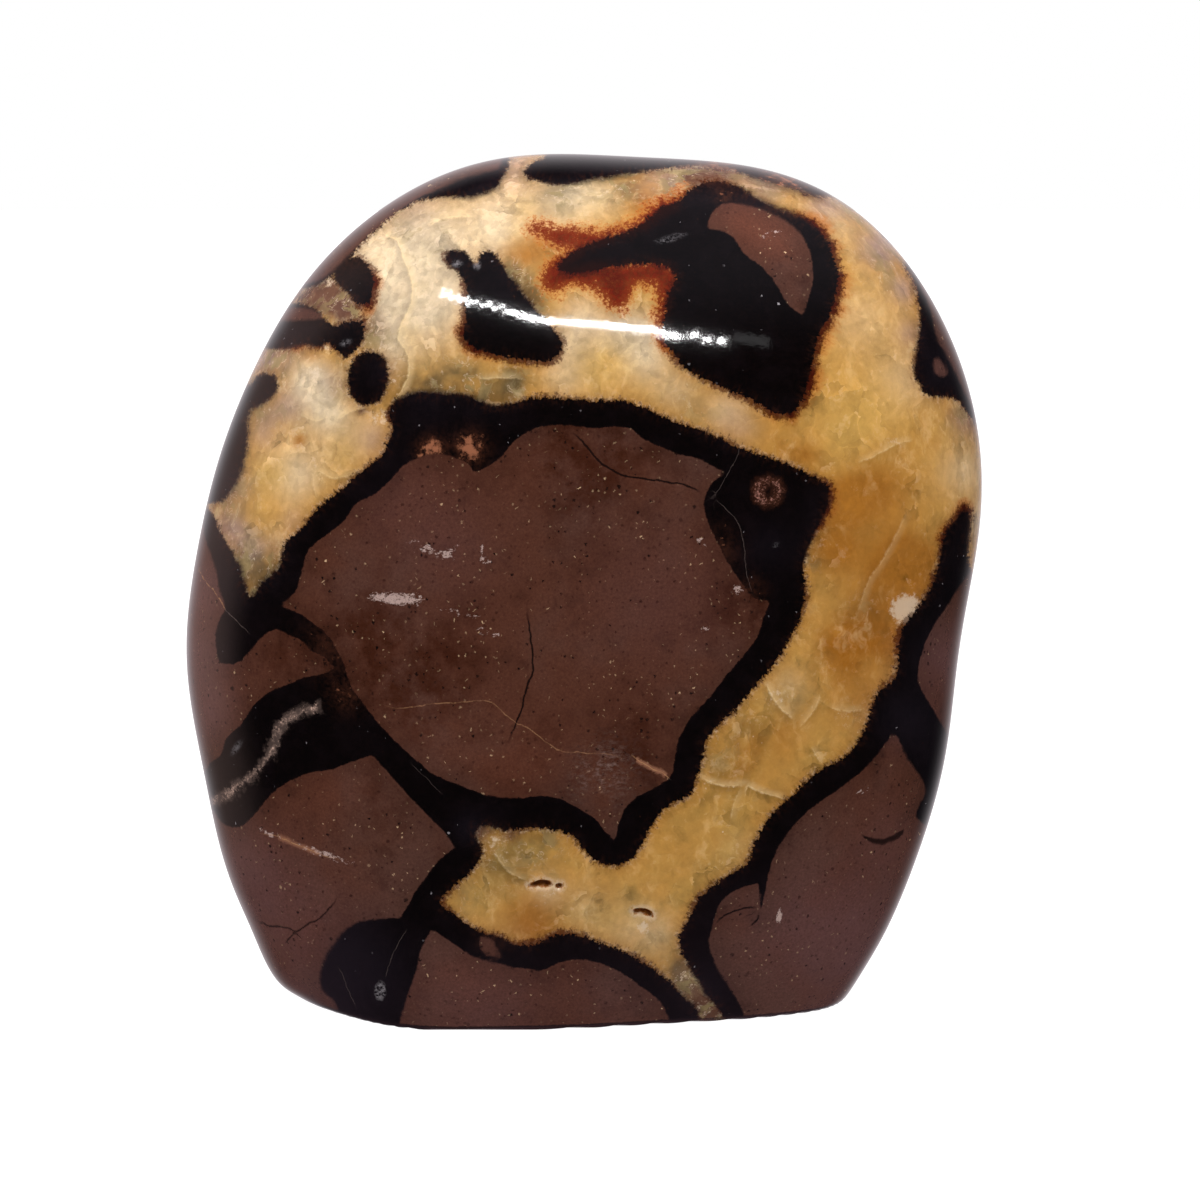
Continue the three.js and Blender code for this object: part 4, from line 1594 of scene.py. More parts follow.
@dataclass(frozen=True)
class Specks:
    """Small specks of many sizes and strengths, scattered at random."""

    spacing: float  # mm between the places that may hold one
    share: float  # of those places that hold one
    least: float  # mm, the smallest radius
    most: float  # mm, the largest radius

    def scattered(self, place: Wire) -> Wire:
        """Scatter them.

        Args:
            place: Where they are read, in millimetres.

        Returns:
            A share from 0 to 1.
        """
        cell = place.cells(self.spacing)
        chance, size, strength = cell.other("Color").parts()
        radius = size * ((self.most - self.least) / self.spacing) + self.least / self.spacing
        present = chance.rise(1 - self.share, 1 - self.share * 0.9)
        return (cell / radius).fall(0.55, 1.1) * present * (strength**2 * 0.8 + 0.2)


@dataclass(frozen=True)
class Fibres:
    """Short pale fibres that lie one way."""

    turn: float  # degrees that they lean from level
    length: float  # mm, the length of the cell that may hold one
    share: float  # of the cells that hold one
    width: float = 0.22  # mm, the height of a cell

    def scattered(self, place: Wire) -> Wire:
        """Scatter them.

        Args:
            place: Where they are read, in millimetres.

        Returns:
            A share from 0 to 1.
        """
        feeds = {"Vector": place, "Angle": math.radians(self.turn)}
        turned = place.bench.node("ShaderNodeVectorRotate", {"rotation_type": "Y_AXIS"}, feeds)
        drawn = turned.vector("MULTIPLY", (1 / self.length, 0.4, 1 / self.width))
        cell = drawn.cells(1.0)
        chance, size, strength = cell.other("Color").parts()
        present = chance.rise(1 - self.share, 1 - self.share * 0.7)
        return (cell / (size * 0.22 + 0.12)).fall(0.6, 1.0) * present * (strength * 0.8 + 0.2)


@dataclass(frozen=True)
class Mudstone:
    """Fine brown mudstone with red mottling, dark specks and pale flecks."""

    ground: Colour = tone(79, 46, 34)
    grey: Colour = tone(80, 52, 43)
    deep: Colour = tone(50, 27, 19)
    red: Colour = tone(55, 26, 15)
    speck: Colour = tone(14, 6, 4)
    fleck: Colour = tone(204, 170, 132)
    smudge: Colour = tone(178, 154, 146)
    thread: Colour = tone(158, 116, 82)
    rusty: Colour = tone(136, 92, 70)
    # the pinkish grey of the painted sheen at the edges, and the mudstone's own tone in the heart
    lilac: Colour = tone(92, 62, 60)
    rosy: Colour = tone(100, 57, 42)
    small_specks: Specks = Specks(0.7, 0.8, 0.1, 0.26)
    large_specks: Specks = Specks(1.8, 0.5, 0.14, 0.34)
    flecks: Specks = Specks(0.6, 0.4, 0.05, 0.16)
    rare_flecks: Specks = Specks(2.6, 0.22, 0.1, 0.24)
    fibres: tuple[Fibres, ...] = (
        Fibres(32.0, 1.0, 0.018), Fibres(-58.0, 0.8, 0.018), Fibres(78.0, 0.9, 0.014),
    )

    def pale_specks(self, spot: Spot) -> Wire:
        """Scatter the pale flecks and fibres, which crowd together in places.

        Args:
            spot: The spot.

        Returns:
            A share from 0 to 1.
        """
        crowd = spot.place.aside(Aside.CROWDS).noise(7.0, 2.0).rise(0.4, 0.66)
        flecks = self.flecks.scattered(spot.crumbled.aside(Aside.FLECKS))
        rare = self.rare_flecks.scattered(spot.crumbled.aside(Aside.RARE_FLECKS))
        first, *others = (fibres.scattered(spot.crumbled) for fibres in self.fibres)
        for other in others:
            first = first.most(other)
        return (flecks * (crowd * 0.8 + 0.2)).most(rare).most(first * (crowd * 0.7 + 0.3))

    def colour(self, spot: Spot) -> Wire:
        """Colour the mudstone.

        Args:
            spot: The spot.

        Returns:
            The colour.
        """
        slow = spot.place.noise(14.0, 3.0, 0.6)
        mottle = spot.place.noise(3.2, 5.0, 0.7)
        grain = spot.place.noise(0.3, 3.0, 0.75)
        base = slow.rise(0.42, 0.66).between(self.ground, self.grey)
        base = base.under(self.deep, mottle.rise(0.46, 0.74) * 0.6)
        redness = (spot.red * 1.1 + slow.fall(0.3, 0.5) * 0.3) * mottle.rise(0.28, 0.66)
        base = base.under(self.red, redness * 0.95)
        # pinkish-grey cast: painted sheen along the edges and bottom, the stone's own tone in the heart
        base = base.under(self.lilac, spot.lilac * (0.5 + mottle * 0.5))
        base = base.under(self.rosy, spot.rosy * (0.3 + mottle * 0.8))
        base = base.scaled(0.3 + grain * 1.0 + mottle * 0.24)
        base = base.scaled(1.0 - spot.mud.rise(-3.5, 0.1) * mottle * 0.4)
        small = self.small_specks.scattered(spot.crumbled) * (mottle.rise(0.3, 0.6) * 0.8 + 0.3)
        large = self.large_specks.scattered(spot.crumbled.aside(Aside.LARGE_SPECKS))
        base = base.under(self.speck, small.most(large) * (0.9 - spot.rosy * 0.7))
        # pale flecks fade where the sheen is painted
        base = base.under(self.fleck, self.pale_specks(spot) * (0.95 - spot.lilac * 0.6))
        worn = spot.place.vector("MULTIPLY", (0.75, 1.0, 1.3)).noise(0.5, 5.0, 0.75)
        base = base.under(self.smudge, spot.frost * worn.rise(0.4, 0.7) * mottle.rise(0.4, 0.6) * 0.4)
        patch = (spot.smudge + (worn - 0.5) * 2.0).fall(-0.05, 0.07) * grain.rise(0.3, 0.5)
        base = base.under(self.smudge, patch * 0.75)
        broad = hairline_share(spot, spot.threads, 0.34) * spot.threads[2].rise(0.9, 0.95)
        base = base.under(self.rusty, broad * worn.rise(0.36, 0.5) * 0.8)
        thread = hairline_share(spot, spot.threads, 0.06) * (spot.broken * 0.75 + 0.25)
        base = base.under(self.thread, thread * 0.9)
        return base.under(self.speck, hairline_share(spot, spot.cracks, 0.13) * 0.9)


@dataclass(frozen=True)
class BlackRim:
    """The near-black lining between mudstone and calcite, browner in places, with painted glints and a
    painted bluish reflection.
    """

    black: Colour = tone(5, 3, 3)
    brown: Colour = tone(64, 34, 22)
    # the blue-grey of a painted reflection on the black
    bluish_reflection: Colour = tone(19, 15, 20)
    # the pale grey of the painted glints, also laid over worn spots
    point: Colour = tone(160, 154, 158)
    crystal: Colour = tone(190, 158, 142)
    veil: Colour = tone(92, 76, 70)
    flesh: Colour = tone(146, 92, 66)
    ring: Colour = tone(150, 104, 92)
    thread: Colour = tone(86, 74, 70)
    glint_points: Specks = Specks(1.0, 0.2, 0.05, 0.15)

    def crystals(self, spot: Spot, base: Wire, fine: Wire, cloud: Wire) -> Wire:
        """Show the ring and the thread of crystals.

        Args:
            spot: The spot.
            base: The colour so far.
            fine: A fine noise.
            cloud: A broad noise.

        Returns:
            The colour.
        """
        crumbs = spot.place.noise(0.26, 2.0, 0.7).rise(0.48, 0.64)
        clump = spot.place.noise(1.1, 3.0, 0.65)
        ring = abs(spot.ring + (clump - 0.5) * 1.6 + (fine - 0.5) * 1.2)
        base = base.under(self.brown, ring.fall(0.1, 1.2) * 0.6)
        base = base.under(self.ring, ring.fall(0.0, 0.6) * crumbs * 0.8)
        veil = (spot.eye + (clump - 0.5) * 3.0).fall(-0.8, 0.3) * (0.1 + cloud)
        base = base.under(self.veil, veil)
        grains = (spot.eye + (clump - 0.5) * 3.6 + (fine - 0.5) * 2.2).fall(-0.8, -0.1)
        grains = grains * clump.rise(0.4, 0.56) * (0.3 + crumbs * 0.7) * (0.3 + cloud.rise(0.4, 0.56))
        return base.under(self.crystal, grains)

    def colour(self, spot: Spot) -> Wire:
        """Colour the black rim.

        Args:
            spot: The spot.

        Returns:
            The colour.
        """
        cloud = spot.place.noise(2.2, 3.0, 0.6)
        fine = spot.place.noise(0.42, 3.0, 0.7)
        # painted reflection: the black turns blue-grey where the sheen and soft tints lie, and a little with
        # a random cloud
        bluish_reflection_share = cloud.rise(0.42, 0.7) * 0.14 + spot.soft * 0.4 + spot.lilac * 0.8
        base = bluish_reflection_share.least(1.3).between(self.black, self.bluish_reflection)
        base = base.scaled(0.5 + fine)
        brownness = (spot.brown_rim * 1.2 + 0.02) * (cloud * 0.5 + fine * 0.7).rise(0.42, 0.8)
        base = base.under(self.brown, brownness)
        blotch = spot.place.noise(1.0, 4.0, 0.7)
        base = base.under(self.flesh, (spot.brown_rim + (blotch - 0.5) * 3.0).rise(0.6, 1.2) * 0.8)
        # painted glints: scattered pale points on the black
        points = self.glint_points.scattered(spot.crumbled.aside(Aside.GLINT_POINTS))
        base = base.under(self.point, points * 0.75)
        frosting = spot.foot.lifted(spot.calcite * 0.5).noise(0.4, 3.0, 0.7)
        base = base.under(self.brown, spot.calcite.fall(0.1, 1.5) * frosting.rise(0.46, 0.72) * 0.3)
        base = self.crystals(spot, base, fine, cloud)
        patch = (spot.smudge + (fine - 0.5) * 1.4).fall(-0.25, 0.3) * fine.rise(0.4, 0.62)
        base = base.under(self.point, patch * 0.45)
        thread = hairline_share(spot, spot.threads, 0.05) * (spot.broken * 0.4 + 0.5)
        return base.under(self.thread, thread)


@dataclass(frozen=True)
class Calcite:
    """Waxy calcite, from cream through honey to amber, in blocky crystals combed out from the rim."""

    honey: Colour = tone(196, 146, 74)
    olive: Colour = tone(168, 134, 70)
    cream: Colour = tone(208, 187, 156)
    straw: Colour = tone(200, 158, 84)
    # the pinkish grey of the painted sheen, and the calcite's own pinkish grey in a few places
    lilac: Colour = tone(150, 126, 120)
    window: Colour = tone(140, 122, 84)
    amber: Colour = tone(156, 98, 30)
    stain: Colour = tone(88, 56, 44)
    smoke: Colour = tone(82, 72, 50)
    frost: Colour = tone(204, 182, 156)
    # pale cleavage lines and veils, also the painted light on each step's lit side
    gleam: Colour = tone(222, 194, 146)
    hollow: Colour = tone(146, 88, 38)
    deep: Colour = tone(78, 38, 14)
    # tiny painted glints
    sparks: Specks = Specks(1.1, 0.3, 0.03, 0.12)

    def facets(self, place: Wire, size: float) -> tuple[Wire, Wire]:
        """Lay a pattern of angular crystals with painted light and shade: each is painted lighter on one side
        and darker on the other, its own way.

        Args:
            place: Where it is read, in millimetres.
            size: How large a crystal is, in millimetres.

        Returns:
            The painted shading, about 0 on average, and a chance number that is even over each crystal.
        """
        cell = place.cells(size)
        _, hue, level = cell.other("Color").parts()
        lean = cell.other("Color").vector("SUBTRACT", MIDDLE_GREY)
        offset = place.vector("SUBTRACT", cell.other("Position"))
        ramp = offset.vector("DOT_PRODUCT", lean, "Value")
        return ramp / size + (level - 0.5) * 0.3, hue

    def cleaved(self, spot: Spot, base: Wire, fine: Wire) -> Wire:
        """Show the cleavage steps: a thin bright edge, with painted light on one side and painted shade on
        the other.

        Args:
            spot: The spot.
            base: The colour so far.
            fine: A fine noise.

        Returns:
            The colour.
        """
        off, away, strength = spot.gleams
        off = off + spot.wobble * 0.7
        lit = off.rise(-0.06, 0.06) * away.fall(0.1, 1.0) * strength
        shaded = off.fall(-0.06, 0.06) * away.fall(0.1, 1.2) * strength
        # painted light on one side of the step, painted shade on the other
        base = base.under(self.gleam, lit * 0.3)
        base = base.scaled(1.0 - shaded * 0.24)
        edge = abs(off).fall(0.04, 0.2) * away.fall(0.5, 1.0) * strength * fine.rise(0.36, 0.62)
        return base.under(self.gleam, edge * 0.45)

    def colour(self, spot: Spot, depth: Wire) -> Wire:
        """Colour the calcite.

        Args:
            spot: The spot.
            depth: Millimetres into the calcite from its ragged edge.

        Returns:
            The colour.
        """
        bent = spot.place.noise(4.0, 3.0, 0.55)
        swirl = bent.other("Color").vector("SUBTRACT", MIDDLE_GREY)
        place = spot.place.vector("ADD", swirl.scaled(5.0))
        far_cloud = spot.place.noise(22.0, 2.0, 0.5)
        cream = spot.cream + spot.behind * far_cloud.rise(0.48, 0.66) * 0.6
        cloud = spot.place.noise(8.0, 5.0, 0.62)
        fine = spot.place.noise(0.7, 4.0, 0.75)
        other_cloud = spot.place.aside(Aside.OTHER_CLOUDS).noise(6.0, 5.0, 0.62)
        # painted light and shade across each large crystal
        block, block_hue = self.facets(place, 4.6)
        olive = other_cloud.rise(0.42, 0.62) * (spot.place.parts()[2].fall(34.0, 62.0) * 0.6 + 0.1)
        base = (olive + block_hue * 0.2).between(self.honey, self.olive)
        base = self.clouded(spot, base, depth, cream, cloud, bent, fine)
        base = self.paned(spot, base, place, cream, fine)
        crystalline = other_cloud.rise(0.44, 0.6)
        # grain here is painted light and shade across small crystals
        grain, _ = self.facets(place.aside(Aside.SMALL_FACETS), 1.9)
        growth = place.vector("MULTIPLY", (1.0, 1.0, 0.4)).noise(1.8, 4.0, 0.62)
        # painted facet light and shade, with the calcite's own growth bands
        shading = block * (crystalline * 0.34 + 0.1) + grain * (crystalline * 0.34 + 0.06)
        shading = shading + (growth - 0.5) * 0.55
        base = base.scaled(0.87 + shading + (fine - 0.5) * 0.3)
        base = base.under(self.gleam, growth.rise(0.5, 0.72) * cloud.rise(0.4, 0.6) * 0.24)
        sugar = spot.crumbled.cells(0.75).other("Color").parts()[0] - 0.5
        base = base.scaled(1.0 + sugar * (cream * 0.16 + 0.05))
        # painted glints: bright crystal flecks in the frost colour
        glints = (fine + grain * 0.5).rise(0.6, 0.7) * crystalline * (cream * 0.5 + 0.3)
        base = base.under(self.frost, glints * 0.5)
        comb = spot.foot.lifted(depth * 0.3).noise(0.3, 2.0, 0.6)
        combed = (comb - 0.5) * depth.fall(0.4, 2.6) * 0.4
        base = base.scaled(1.0 + combed - depth.fall(0.0, 1.4) * 0.16)
        base = self.cleaved(spot, base, fine)
        crust = depth.rise(0.02, 0.16) * depth.fall(0.2, 0.7) * (comb * 0.5 + fine * 0.6).rise(0.5, 0.66)
        base = base.under(self.frost, crust * 0.35)
        # painted glints: scattered sparks in the frost colour
        sparks = self.sparks.scattered(spot.place.aside(Aside.SPARKS))
        base = base.under(self.frost, sparks * (crystalline * 0.5 + 0.2))
        return self.worn(spot, base, fine)

    def clouded(
        self, spot: Spot, base: Wire, depth: Wire, cream: Wire, cloud: Wire, bent: Wire, fine: Wire
    ) -> Wire:
        """Lay the soft clouds of other colours.

        Args:
            spot: The spot.
            base: The colour so far.
            depth: Millimetres into the calcite from its ragged edge.
            cream: How creamy the stone is.
            cloud: A broad noise.
            bent: A noise of the clouds' own size.
            fine: A fine noise.

        Returns:
            The colour.
        """
        amber = spot.amber + cloud.rise(0.52, 0.72) * 0.35 - spot.cream * 0.4
        layers = (
            (self.cream, cream * (0.8 + bent * 0.3)),
            (self.straw, spot.straw * (0.4 + bent * 0.8)),
            (self.amber, amber.most(0.0) * 0.9),
            (self.smoke, spot.smoke * bent.rise(0.2, 0.6) * 0.9),
            # painted sheen in pinkish grey, and the calcite's own pinkish grey in places
            (self.lilac, spot.lilac * (0.5 + bent * 0.7)),
            (self.amber, depth.fall(0.2, 2.4) * (1.0 - cream) * 0.3),
            (self.smoke, spot.soft * depth.fall(0.0, 2.4) * 0.6),
            (self.stain, (spot.red + (fine - 0.5) * 0.8).rise(0.2, 0.9) * 0.9),
        )
        for colour, share in layers:
            base = base.under(colour, share)
        return base

    def paned(self, spot: Spot, base: Wire, place: Wire, cream: Wire, fine: Wire) -> Wire:
        """Show clear panes with frosted edges, as between sheets of crystal.

        Args:
            spot: The spot.
            base: The colour so far.
            place: The spot's place, swirled.
            cream: How creamy the stone is.
            fine: A fine noise.

        Returns:
            The colour.
        """
        pane = place.aside(Aside.PANES).noise(2.6, 3.0, 0.6)
        clear = spot.smoke * 0.7 + cream * 0.12 + 0.03
        base = base.under(self.window, pane.rise(0.52, 0.58) * clear)
        pane_edge = abs(pane - 0.52).fall(0.0, 0.016) * fine.rise(0.42, 0.6)
        return base.under(self.frost, pane_edge * clear)

    def worn(self, spot: Spot, base: Wire, fine: Wire) -> Wire:
        """Show the frosted places and the small hollows with their pale halos.

        Args:
            spot: The spot.
            base: The colour so far.
            fine: A fine noise.

        Returns:
            The colour.
        """
        rough = spot.place.noise(0.6, 4.0, 0.75)
        base = base.under(self.frost, (spot.frost + (rough - 0.5) * 1.9).rise(0.35, 0.8) * 0.72)
        halo = (spot.vug + (rough - 0.5) * 1.8).fall(0.1, 0.7) * rough.rise(0.36, 0.5)
        base = base.under(self.frost, halo * 0.55)
        ragged = spot.vug + (rough - 0.5) * 0.9 + (fine - 0.5) * 0.4
        base = base.under(self.hollow, ragged.fall(-0.08, 0.1))
        return base.under(self.deep, ragged.fall(-0.3, -0.05) * 0.85)


@dataclass(frozen=True)
class Rust:
    """Iron stain: red-brown where it is thick, orange where it thins out."""

    thick: Colour = tone(64, 14, 5)
    middling: Colour = tone(102, 28, 9)
    thin: Colour = tone(172, 96, 32)
    in_black: Colour = tone(26, 7, 4)
    fringe: Colour = tone(58, 17, 6)
    halo: Colour = tone(164, 92, 32)

    def edged(self, spot: Spot, depth: Wire, pale: Wire, waver: Wire) -> Wire:
        """Lay the warm halo and the dark fringe along the calcite's edges.

        Args:
            spot: The spot.
            depth: Millimetres into the calcite from its ragged edge.
            pale: The calcite's colour.
            waver: A noise of middling size.

        Returns:
            The calcite's new colour.
        """
        crumbs = spot.place.noise(0.36, 3.0, 0.75)
        reach = depth + (waver - 0.5) * 1.2 + (crumbs - 0.5) * 1.4
        hot = spot.burnt * (spot.foot.noise(2.2, 3.0, 0.6).rise(0.3, 0.55) * 0.4 + 0.6)
        warmth = hot * hot
        halo = (reach / (warmth * 2.4 + 0.3)).fall(0.1, 1.0) * (0.06 + warmth * 0.75)
        pale = pale.under(self.halo, halo)
        fringe = (reach / (hot * 0.9 + 0.45)).fall(0.3, 1.0) * (0.6 + hot * 0.4)
        return pale.under(self.fringe, fringe)

    def stain(self, spot: Spot, depth: Wire, pale: Wire, dark: Wire) -> tuple[Wire, Wire]:
        """Lay the branching stain over the calcite and the black, darkest where the two meet.

        Args:
            spot: The spot.
            depth: Millimetres into the calcite from its ragged edge.
            pale: The calcite's colour.
            dark: The colour of the black and the mudstone.

        Returns:
            Both colours.
        """
        branches = spot.place.noise(1.7, 6.0, 0.8)
        crumbs = spot.place.noise(0.4, 3.0, 0.75)
        reach = spot.rust - 0.05 + (branches - 0.5) * 3.8 + (crumbs - 0.5) * 4.2
        pale = pale.under(self.thin, reach.fall(-0.1, 0.9) * 0.6)
        pale = pale.under(self.middling, reach.fall(-0.6, 0.3) * (0.55 + crumbs * 0.8))
        pale = pale.under(self.thick, reach.fall(-1.9, -0.7) * (0.4 + crumbs * 0.6))
        burnt = (depth + (branches - 0.5) * 1.6 + (crumbs - 0.5) * 1.2).fall(-0.2, 0.9)
        burnt = burnt * reach.fall(-0.8, 0.5)
        pale = pale.under(self.in_black, burnt * 0.8)
        inward = (depth * -1.0 + (branches - 0.5) * 2.0).fall(-0.2, 1.8)
        return pale, dark.under(self.in_black, inward * reach.fall(-1.0, 0.8))


@dataclass(frozen=True)
class PolishedStone:
    """The whole stone's finish: the three parts laid beside each other under one polish."""

    mudstone: Mudstone = Mudstone()
    rim: BlackRim = BlackRim()
    calcite: Calcite = Calcite()
    rust: Rust = Rust()
    # the dark of the painted shade along the bottom edge
    edge: Colour = tone(22, 12, 11)
    polish: float = 0.055  # roughness
    tooth: float = 0.54  # mm that the black's crystal teeth reach into the calcite
    glow_depth: float = 1.0  # mm that light travels in the calcite
    glow: float = 0.2
    glow_shares: Triple = (1.0, 0.6, 0.3)  # how far red, green and blue travel beside each other
    refraction: float = 1.5
    relief: float = 0.00003  # metres
    relief_strength: float = 0.22

    def ragged_depth(self, spot: Spot) -> Wire:
        """Give the distance into the calcite from its edge, with the black's teeth cut into it.

        Args:
            spot: The spot.

        Returns:
            Millimetres, positive in the calcite.
        """
        coarse = spot.foot.lifted(spot.calcite * 0.45).noise(0.42, 4.0, 0.75)
        uneven = spot.foot.noise(1.3, 2.0, 0.6)
        grit = spot.place.noise(0.3, 3.0, 0.7)
        height = (uneven.rise(0.3, 0.7) * 0.7 + 0.3) * (1.0 - spot.soft * 0.85) * self.tooth
        teeth = coarse.rise(0.4, 0.7) * height
        swell = (spot.place.noise(1.6, 3.0, 0.6) - 0.5) * spot.soft * 0.9
        return 0.22 - spot.calcite - teeth + (grit - 0.5) * (1.1 - spot.soft * 0.8) + swell

    def build(self) -> bpy.types.Material:
        """Make the material.

        Returns:
            The material.
        """
        material, bench = fresh_material("polished_septarian_stone")
        spot = Spot.read(bench)
        depth = self.ragged_depth(spot)
        waver = spot.place.noise(0.8, 4.0, 0.7)
        in_mud = ((spot.mud + (waver - 0.5) * 0.5) / (spot.soft * 3.0 + 1.0)).fall(-0.08, 0.14)
        in_calcite = ((depth - spot.soft * 0.4) / (spot.soft * 7.0 + 1.0)).rise(-0.05, 0.1)
        dark = self.rim.colour(spot).under(self.mudstone.colour(spot), in_mud)
        pale = self.calcite.colour(spot, depth)
        pale = self.rust.edged(spot, depth, pale, waver)
        pale, dark = self.rust.stain(spot, depth, pale, dark)
        height = spot.place.parts()[2]
        # painted shade: a dark band along the eased bottom edge, just above the flat
        painted_foot_shade = height.rise(0.02, 0.1) * (height + (waver - 0.5) * 0.4).fall(0.5, 0.75)
        dark = dark.under(self.edge, painted_foot_shade * 0.9)
        pale = pale.under(self.edge, painted_foot_shade * 0.7)
        relief = spot.place.noise(0.9, 3.0, 0.6)
        bump_feeds = {"Strength": self.relief_strength, "Distance": self.relief, "Height": relief}
        shared = {
            "Roughness": self.polish + (waver - 0.5) * 0.03,
            "Normal": bench.node("ShaderNodeBump", {}, bump_feeds),
            "IOR": self.refraction,
        }
        opaque = bench.node("ShaderNodeBsdfPrincipled", {}, {**shared, "Base Color": dark})
        waxy = bench.node("ShaderNodeBsdfPrincipled", {}, {
            **shared,
            "Base Color": pale,
            "Subsurface Weight": self.glow,
            "Subsurface Radius": self.glow_shares,
            "Subsurface Scale": self.glow_depth * MM,
        })
        surface = bench.node("ShaderNodeMixShader", {}, {0: in_calcite, 1: opaque, 2: waxy})
        bench.node("ShaderNodeOutputMaterial", {"target": "ALL"}, {"Surface": surface})
        return material


@dataclass
class Stone:
    """The nodule itself: one closed, polished mesh."""

    form: Form
    markings: Markings
    finish: PolishedStone
    across: Cuts = Cuts(90.0, 0.62, ((-6.6, -1.8), (5.2, 8.4)))
    through: Cuts = Cuts(46.0, 0.98)
    upward: Cuts = Cuts(100.0, 0.62, ((-35.6, -29.0),))
    vug_depth: float = 1.0  # mm
    vug_brow: Pair = (-0.12, 0.42)  # mm out from and in from a hollow's outline where it begins and is full

    def shape(self, shell: Shell) -> np.ndarray:
        """Give the shell's points their places, centred over the origin.

        Args:
            shell: The cut box.

        Returns:
            Points in millimetres.
        """
        points = self.form.polished(shell.directions)
        middle = (points.min(0) + points.max(0)) / 2
        points[:, :2] -= middle[:2]
        return points

    def hollow(self, points: np.ndarray, normals: np.ndarray, vug: np.ndarray) -> np.ndarray:
        """Sink the small hollows in the calcite.

        Args:
            points: The mesh's points, in millimetres.
            normals: The surface's directions there.
            vug: How far out of the nearest hollow each point is, in millimetres.

        Returns:
            The points, moved.
        """
        sink = self.vug_depth * eased(-vug, *self.vug_brow)
        return points - normals * sink[:, None]

    def build(self) -> bpy.types.Object:
        """Make the mesh, with its markings and its map.

        Returns:
            The stone's object.
        """
        shell = box_shell((self.across.lines(), self.through.lines(), self.upward.lines()))
        points = self.shape(shell)
        mesh = bpy.data.meshes.new("nodule")
        mesh.from_pydata((points * MM).tolist(), [], shell.faces.tolist())
        mesh.shade_smooth()
        normals = np.empty(len(points) * 3, np.float32)
        mesh.vertices.foreach_get("normal", normals)
        normals = normals.reshape(-1, 3).astype(float)
        carried = self.markings.carried(points, normals)
        for name, values in carried.items():
            attribute = mesh.attributes.new(name, "FLOAT_VECTOR", "POINT")
            attribute.data.foreach_set("vector", values.astype(np.float32).ravel())
        moved = self.hollow(points, normals, carried["marks"][:, 2])
        mesh.vertices.foreach_set("co", (moved * MM).astype(np.float32).ravel())
        bake_map = mesh.uv_layers.new(name="OFBake")
        bake_map.uv.foreach_set("vector", shell.map_places.astype(np.float32).ravel())
        mesh.update()
        return placed("polished_nodule", mesh)

    def dress(self, nodule: bpy.types.Object) -> None:
        """Give the stone its finish and its place in the row.

        Args:
            nodule: The stone's object.
        """
        nodule.data.materials.append(self.finish.build())
        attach(nodule, BODY)
        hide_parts(STONE)


@dataclass(frozen=True)
class Skylight:
    """Broad even light from above, which the floor throws back up. The polish doesn't mirror it."""

    towards: Triple = (-0.06, -0.14, 1.0)  # where it comes from
    strength: float = 7.3  # watts per square metre
    spread: float = 64.0  # degrees

    def build(self) -> bpy.types.Object:
        """Make the light.

        Returns:
            The light's object.
        """
        data = bpy.data.lights.new("skylight", "SUN")
        data.energy = self.strength
        data.angle = math.radians(self.spread)
        lamp = placed("skylight", data)
        lamp.rotation_euler = Vector(self.towards).to_track_quat("Z", "Y").to_euler()
        lamp.visible_glossy = False
        return lamp


class Panel(Enum):
    """The shapes that a length of the tube can have."""

    ROUNDED = "ELLIPSE"
    STRAIGHT = "RECTANGLE"


